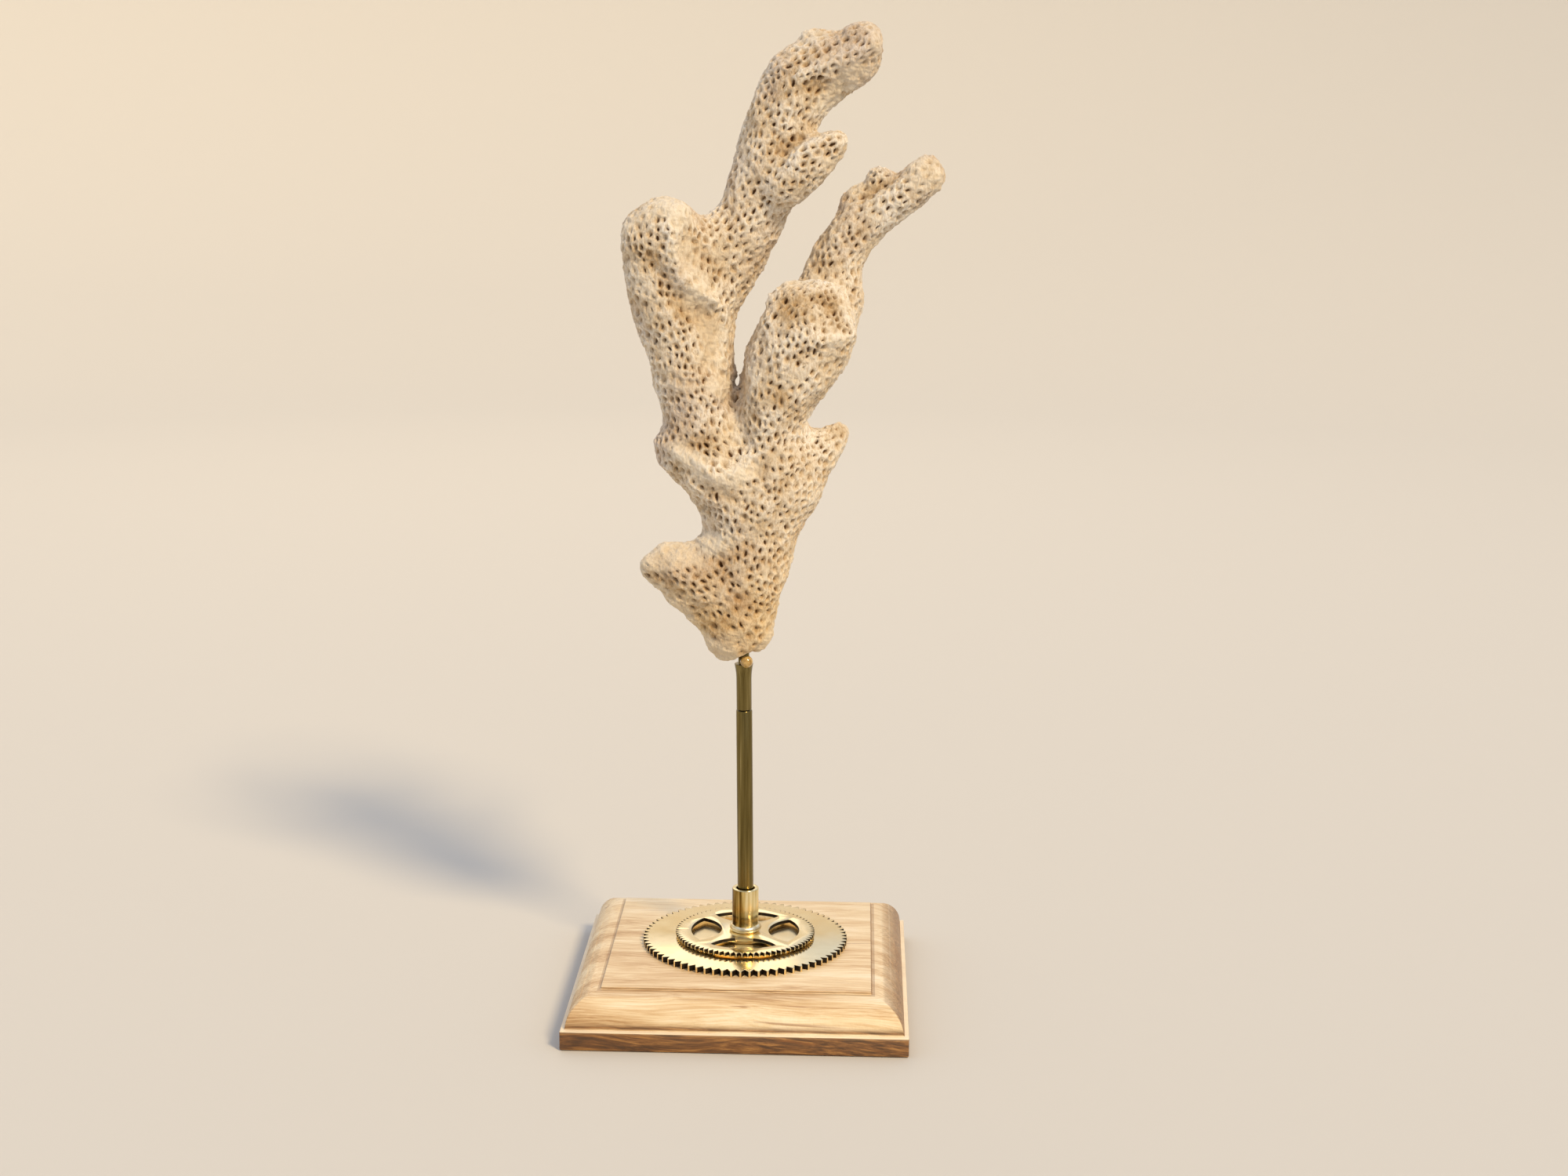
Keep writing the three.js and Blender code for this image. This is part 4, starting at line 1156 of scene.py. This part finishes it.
class CORALSTAND_OT_stage(bpy.types.Operator):
    """Sets the pale floor, the soft studio light and the camera"""

    bl_idname = "coralstand.stage"
    bl_label = "Studio"

    def execute(self, context):
        s = settings().studio
        scene = context.scene
        start_clean()
        just_under = (0, 0, -0.2 * MM)
        bpy.ops.mesh.primitive_circle_add(
            vertices=128, radius=s.floor_radius, fill_type="NGON", location=just_under,
        )
        floor = into_mesh(bpy.context.object)
        floor.name = "studio_paper"
        bpy.ops.object.mode_set(mode="EDIT")
        bpy.ops.mesh.select_all(action="DESELECT")
        self.sweep_up(floor, s)
        floor.data.materials.append(make_floor_material(s))
        self.sky(scene, s)
        # each lamp's place is in metres, and its size is an angle for the sun and metres for the area lamp
        for name, kind, place, size, power in (
            ("key_light", "SUN", (0.62, -0.72, 1.0), math.radians(12), s.key_strength),
            ("back_light", "AREA", (-0.3, 1.0, 0.9), 0.8, s.back_power),
        ):
            light = bpy.data.lights.new(name, kind)
            light.energy = power
            light.color = s.key_colour
            setattr(light, "angle" if kind == "SUN" else "size", size)
            lamp = bpy.data.objects.new(name, light)
            lamp.location = place
            lamp.rotation_euler = (LAMP_AIM - Vector(place)).to_track_quat("-Z", "Y").to_euler()
            scene.collection.objects.link(lamp)
        self.camera(scene, s)
        scene.view_settings.view_transform = "Standard"
        return {"FINISHED"}

    def sweep_up(self, floor, s):
        """The paper's edge curves up all round into a pale wall with no line between them."""
        mesh = bmesh.from_edit_mesh(floor.data)
        for edge in mesh.edges:
            edge.select_set(edge.is_boundary)
        bmesh.update_edit_mesh(floor.data)
        reach, height, steps = s.floor_radius, 0.0, 16
        for step in range(1, steps + 1):
            turn = step / steps * s.sweep_angle
            new_reach = s.floor_radius + s.sweep_radius * math.sin(turn)
            new_height = s.sweep_radius * (1 - math.cos(turn))
            bpy.ops.mesh.extrude_edges_move(TRANSFORM_OT_translate={"value": (0, 0, new_height - height)})
            ratio = new_reach / reach
            bpy.ops.transform.resize(value=(ratio, ratio, 1), center_override=(0, 0, 0))
            reach, height = new_reach, new_height
        bpy.ops.object.mode_set(mode="OBJECT")
        bpy.ops.object.shade_smooth()

    def sky(self, scene, s):
        """Pale and a little cool all round, and quieter behind the camera than behind the coral."""
        world = bpy.data.worlds.new("studio_air")
        scene.world = world
        world.use_nodes = True
        tree = world.node_tree
        tree.nodes.clear()
        way = add_node(tree, "TexCoord").outputs["Generated"]
        back = add_node(tree, "SeparateXYZ", Vector=way).outputs[1]
        strength = add_node(tree, "MapRange", {
            "From Min": -1.0, "From Max": 0.4, "To Min": 0.54, "To Max": 0.96,
        }, Value=back)
        shade = add_node(tree, "Background", {"Color": list(s.sky_colour) + [1.0]}, Strength=strength)
        add_node(tree, "OutputWorld", Surface=shade)

    def camera(self, scene, s):
        """The photo's view, from its turn, height, roll and distance."""
        lens = bpy.data.cameras.new("camera")
        lens.lens, lens.sensor_width = s.lens, FILM_WIDTH
        camera = bpy.data.objects.new("camera", lens)
        turn, tilt = s.camera_azimuth, s.camera_elevation
        back = Vector((math.sin(turn) * math.cos(tilt), -math.cos(turn) * math.cos(tilt), math.sin(tilt)))
        camera.location = Vector(s.camera_target) + back * s.camera_distance
        facing = (-back).to_track_quat("-Z", "Y").to_matrix() @ Matrix.Rotation(s.camera_roll, 3, "Z")
        camera.rotation_euler = facing.to_euler()
        scene.collection.objects.link(camera)
        scene.camera = camera


# Settings


def length(name, description, mm):
    return FloatProperty(
        name=name, description=description, default=mm * MM, unit="LENGTH", subtype="DISTANCE", precision=5,
    )


def angle(name, description, degrees):
    return FloatProperty(
        name=name, description=description, default=math.radians(degrees), unit="ROTATION", subtype="ANGLE",
    )


def paint(name, description, code):
    return FloatVectorProperty(name=name, description=description, subtype="COLOR", default=colour(code)[:3])


class PlinthSettings(bpy.types.PropertyGroup):
    band_height: length("Band height", "Height of the plain band under the moulding", 5.6)
    ledge_width: length("Ledge width", "Flat ledge between the band and the quarter round", 1.3)
    panel_inset: length("Panel inset", "From the plinth's side to the raised panel", 10.6)
    panel_step: length("Panel step", "Rise of the panel over the quarter round", 0.8)
    edge_ease: length("Eased edges", "Rounding of the plinth's edges", 0.35)


class BrassSettings(bpy.types.PropertyGroup):
    large_teeth: IntProperty(name="Large gear teeth", description="Teeth on the large gear", default=72)
    large_root: length("Large gear root", "Radius at the bottom of the large gear's teeth", 28.6)
    small_teeth: IntProperty(name="Small gear teeth", description="Teeth on the small gear", default=76)
    small_root: length("Small gear root", "Radius at the bottom of the small gear's teeth", 19.3)
    small_thickness: length("Small gear thickness", "Thickness of the small gear's plate", 1.1)
    boss_radius: length("Boss radius", "Radius of the boss that lifts the small gear", 6.2)
    window_rim: length("Window rim", "Radius of the windows' outer arc", 16.1)
    window_hub_reach: length("Hub reach", "From the middle to a window's nearest point", 6.95)
    window_hub_arc: length("Hub arc", "Radius of the windows' inner arc", 10.8)
    tooth_tip: FloatProperty(
        name="Tooth tip", description="Half of a tooth's flat tip, as a share of the pitch", default=0.11,
    )
    gear_ease: length("Gear edges", "Rounding of the gears' edges", 0.09)
    collar_bore: length("Collar bore", "Radius of the collar's bore", 2.75)
    collar_floor: length("Collar floor", "Thickness of metal under the bore", 3.0)
    collar_ease: length("Collar rim", "Rounding of the collar's rims", 0.35)
    rod_radius: length("Rod radius", "Radius of the rod", 2.36)
    rod_top: length("Rod top", "Height of the joint between the rod and the pin, along the rod", 86.3)
    socket_radius: length("Socket radius", "Radius of the socket in the rod's top", 1.75)
    socket_depth: length("Socket depth", "Depth of the socket in the rod's top", 6.0)
    pin_radius: length("Pin radius", "Radius of the pin over the joint", 2.22)
    pin_mouth_radius: length("Pin mouth", "Radius of the pin's trumpet mouth", 2.75)
    pin_mouth: length("Pin mouth height", "Height of the pin's mouth, along the rod", 100.3)
    pin_flare: length("Pin flare", "Length over which the pin opens", 5.0)
    spigot_radius: length("Upper spigot", "Radius of the spigot inside the coral", 1.6)
    spigot_length: length("Upper spigot length", "Length of the spigot inside the coral", 9.0)
    lower_spigot_radius: length("Lower spigot", "Radius of the spigot inside the rod", 1.4)
    lower_spigot_length: length("Lower spigot length", "Length of the spigot inside the rod", 5.4)
    rod_lean: angle("Rod lean", "Lean of the rod to the left", 0.79)
    rod_ease: length("Rod edges", "Rounding of the rod's edges", 0.2)
    pin_ease: length("Pin edges", "Rounding of the pin's edges", 0.1)
    lean_gap: length("Gap under the rod", "Room for the leaning rod over the collar's floor", 0.05)
    joint_gap: length("Joint gap", "Gap between the rod and the pin", 0.3)


class CoralSettings(bpy.types.PropertyGroup):
    skin_cell: length("Skin cell", "Voxel size of the fused skin before it is subdivided", 1.27)
    seam_swell: length("Seam swell", "How far the limbs swell to close their seams", 0.25)
    glue_cell: length("Glue cell", "Voxel size of the glue drop", 0.16)
    pore_width: length("Pore width", "Width of a pore across the growth", 0.9)
    pore_depth: length("Pore depth", "Depth of a pore", 1.15)
    pore_gap_across: length("Pore gap across", "Least distance between pores across the growth", 1.9)
    pore_gap_along: length("Pore gap along", "Least distance between pores along the growth", 2.5)
    bowl_depth: length("Bowl depth", "Depth of the shallow bowl around a pore", 0.32)
    rim_height: length("Rim height", "Rise of the walls between the bowls and of each pore's lower lip", 0.14)
    pore_stretch: FloatProperty(
        name="Pore stretch", description="Length of a pore over its width", default=2.1,
    )
    seed: IntProperty(name="Seed", description="Seed of the pores' places and sizes", default=11)


class StudioSettings(bpy.types.PropertyGroup):
    floor_radius: length("Floor radius", "How far the flat floor reaches", 1300)
    sweep_radius: length("Sweep radius", "Radius of the curve from the floor up to the wall", 1100)
    sweep_angle: angle("Sweep angle", "How far round the curve goes", 80)
    floor_colour: paint("Floor colour", "Colour of the studio paper", "#cdcac3")
    sky_colour: paint("Air colour", "Colour of the light from all round", "#dfe7f9")
    key_strength: FloatProperty(
        name="Key strength", description="Strength of the broad light from above", default=2.75,
    )
    key_colour: paint("Key colour", "Colour of the lamps", "#ffe3b4")
    back_power: FloatProperty(
        name="Back power", description="Power of the light from behind", default=2.0, unit="POWER",
    )
    lens: FloatProperty(name="Lens", description="Focal length in mm over a 36 mm frame", default=56.03)
    camera_target: FloatVectorProperty(
        name="Aim", description="Point that the camera looks at", subtype="TRANSLATION", unit="LENGTH",
        default=(0.01136, 0.0, 0.12324),
    )
    camera_distance: length("Camera distance", "From the camera to its aim", 705.6)
    camera_azimuth: angle("Camera azimuth", "Turn of the camera to the right of the front", 1.685)
    camera_elevation: angle("Camera elevation", "Height of the camera over the horizon", 11.905)
    camera_roll: angle("Camera roll", "Roll of the camera to the left", 0.563)


class CoralStandSettings(bpy.types.PropertyGroup):
    plinth: PointerProperty(type=PlinthSettings)
    brass: PointerProperty(type=BrassSettings)
    coral: PointerProperty(type=CoralSettings)
    studio: PointerProperty(type=StudioSettings)


class CORALSTAND_PT_panel(bpy.types.Panel):
    """Lists the pieces of the coral and its stand"""

    bl_idname = "CORALSTAND_PT_panel"
    bl_label = "Coral on a Brass Stand"
    bl_space_type = "VIEW_3D"
    bl_region_type = "UI"
    bl_category = "Coral"

    def draw(self, context):
        for operator in OPERATORS:
            self.layout.operator(operator.bl_idname)


OPERATORS = (
    CORALSTAND_OT_stage, CORALSTAND_OT_plinth, CORALSTAND_OT_gears,
    CORALSTAND_OT_stem, CORALSTAND_OT_coral, CORALSTAND_OT_glue,
)
CLASSES = (
    PlinthSettings, BrassSettings, CoralSettings, StudioSettings, CoralStandSettings,
) + OPERATORS + (CORALSTAND_PT_panel,)


def register():
    for cls in CLASSES:
        bpy.utils.register_class(cls)
    bpy.types.Scene.coral_stand = PointerProperty(type=CoralStandSettings)


def unregister():
    del bpy.types.Scene.coral_stand
    for cls in reversed(CLASSES):
        bpy.utils.unregister_class(cls)


def main():
    register()
    bpy.ops.coralstand.stage()
    bpy.ops.coralstand.plinth()
    bpy.ops.coralstand.gears()
    bpy.ops.coralstand.stem()
    bpy.ops.coralstand.coral()
    bpy.ops.coralstand.glue()


if __name__ == "__main__":
    main()
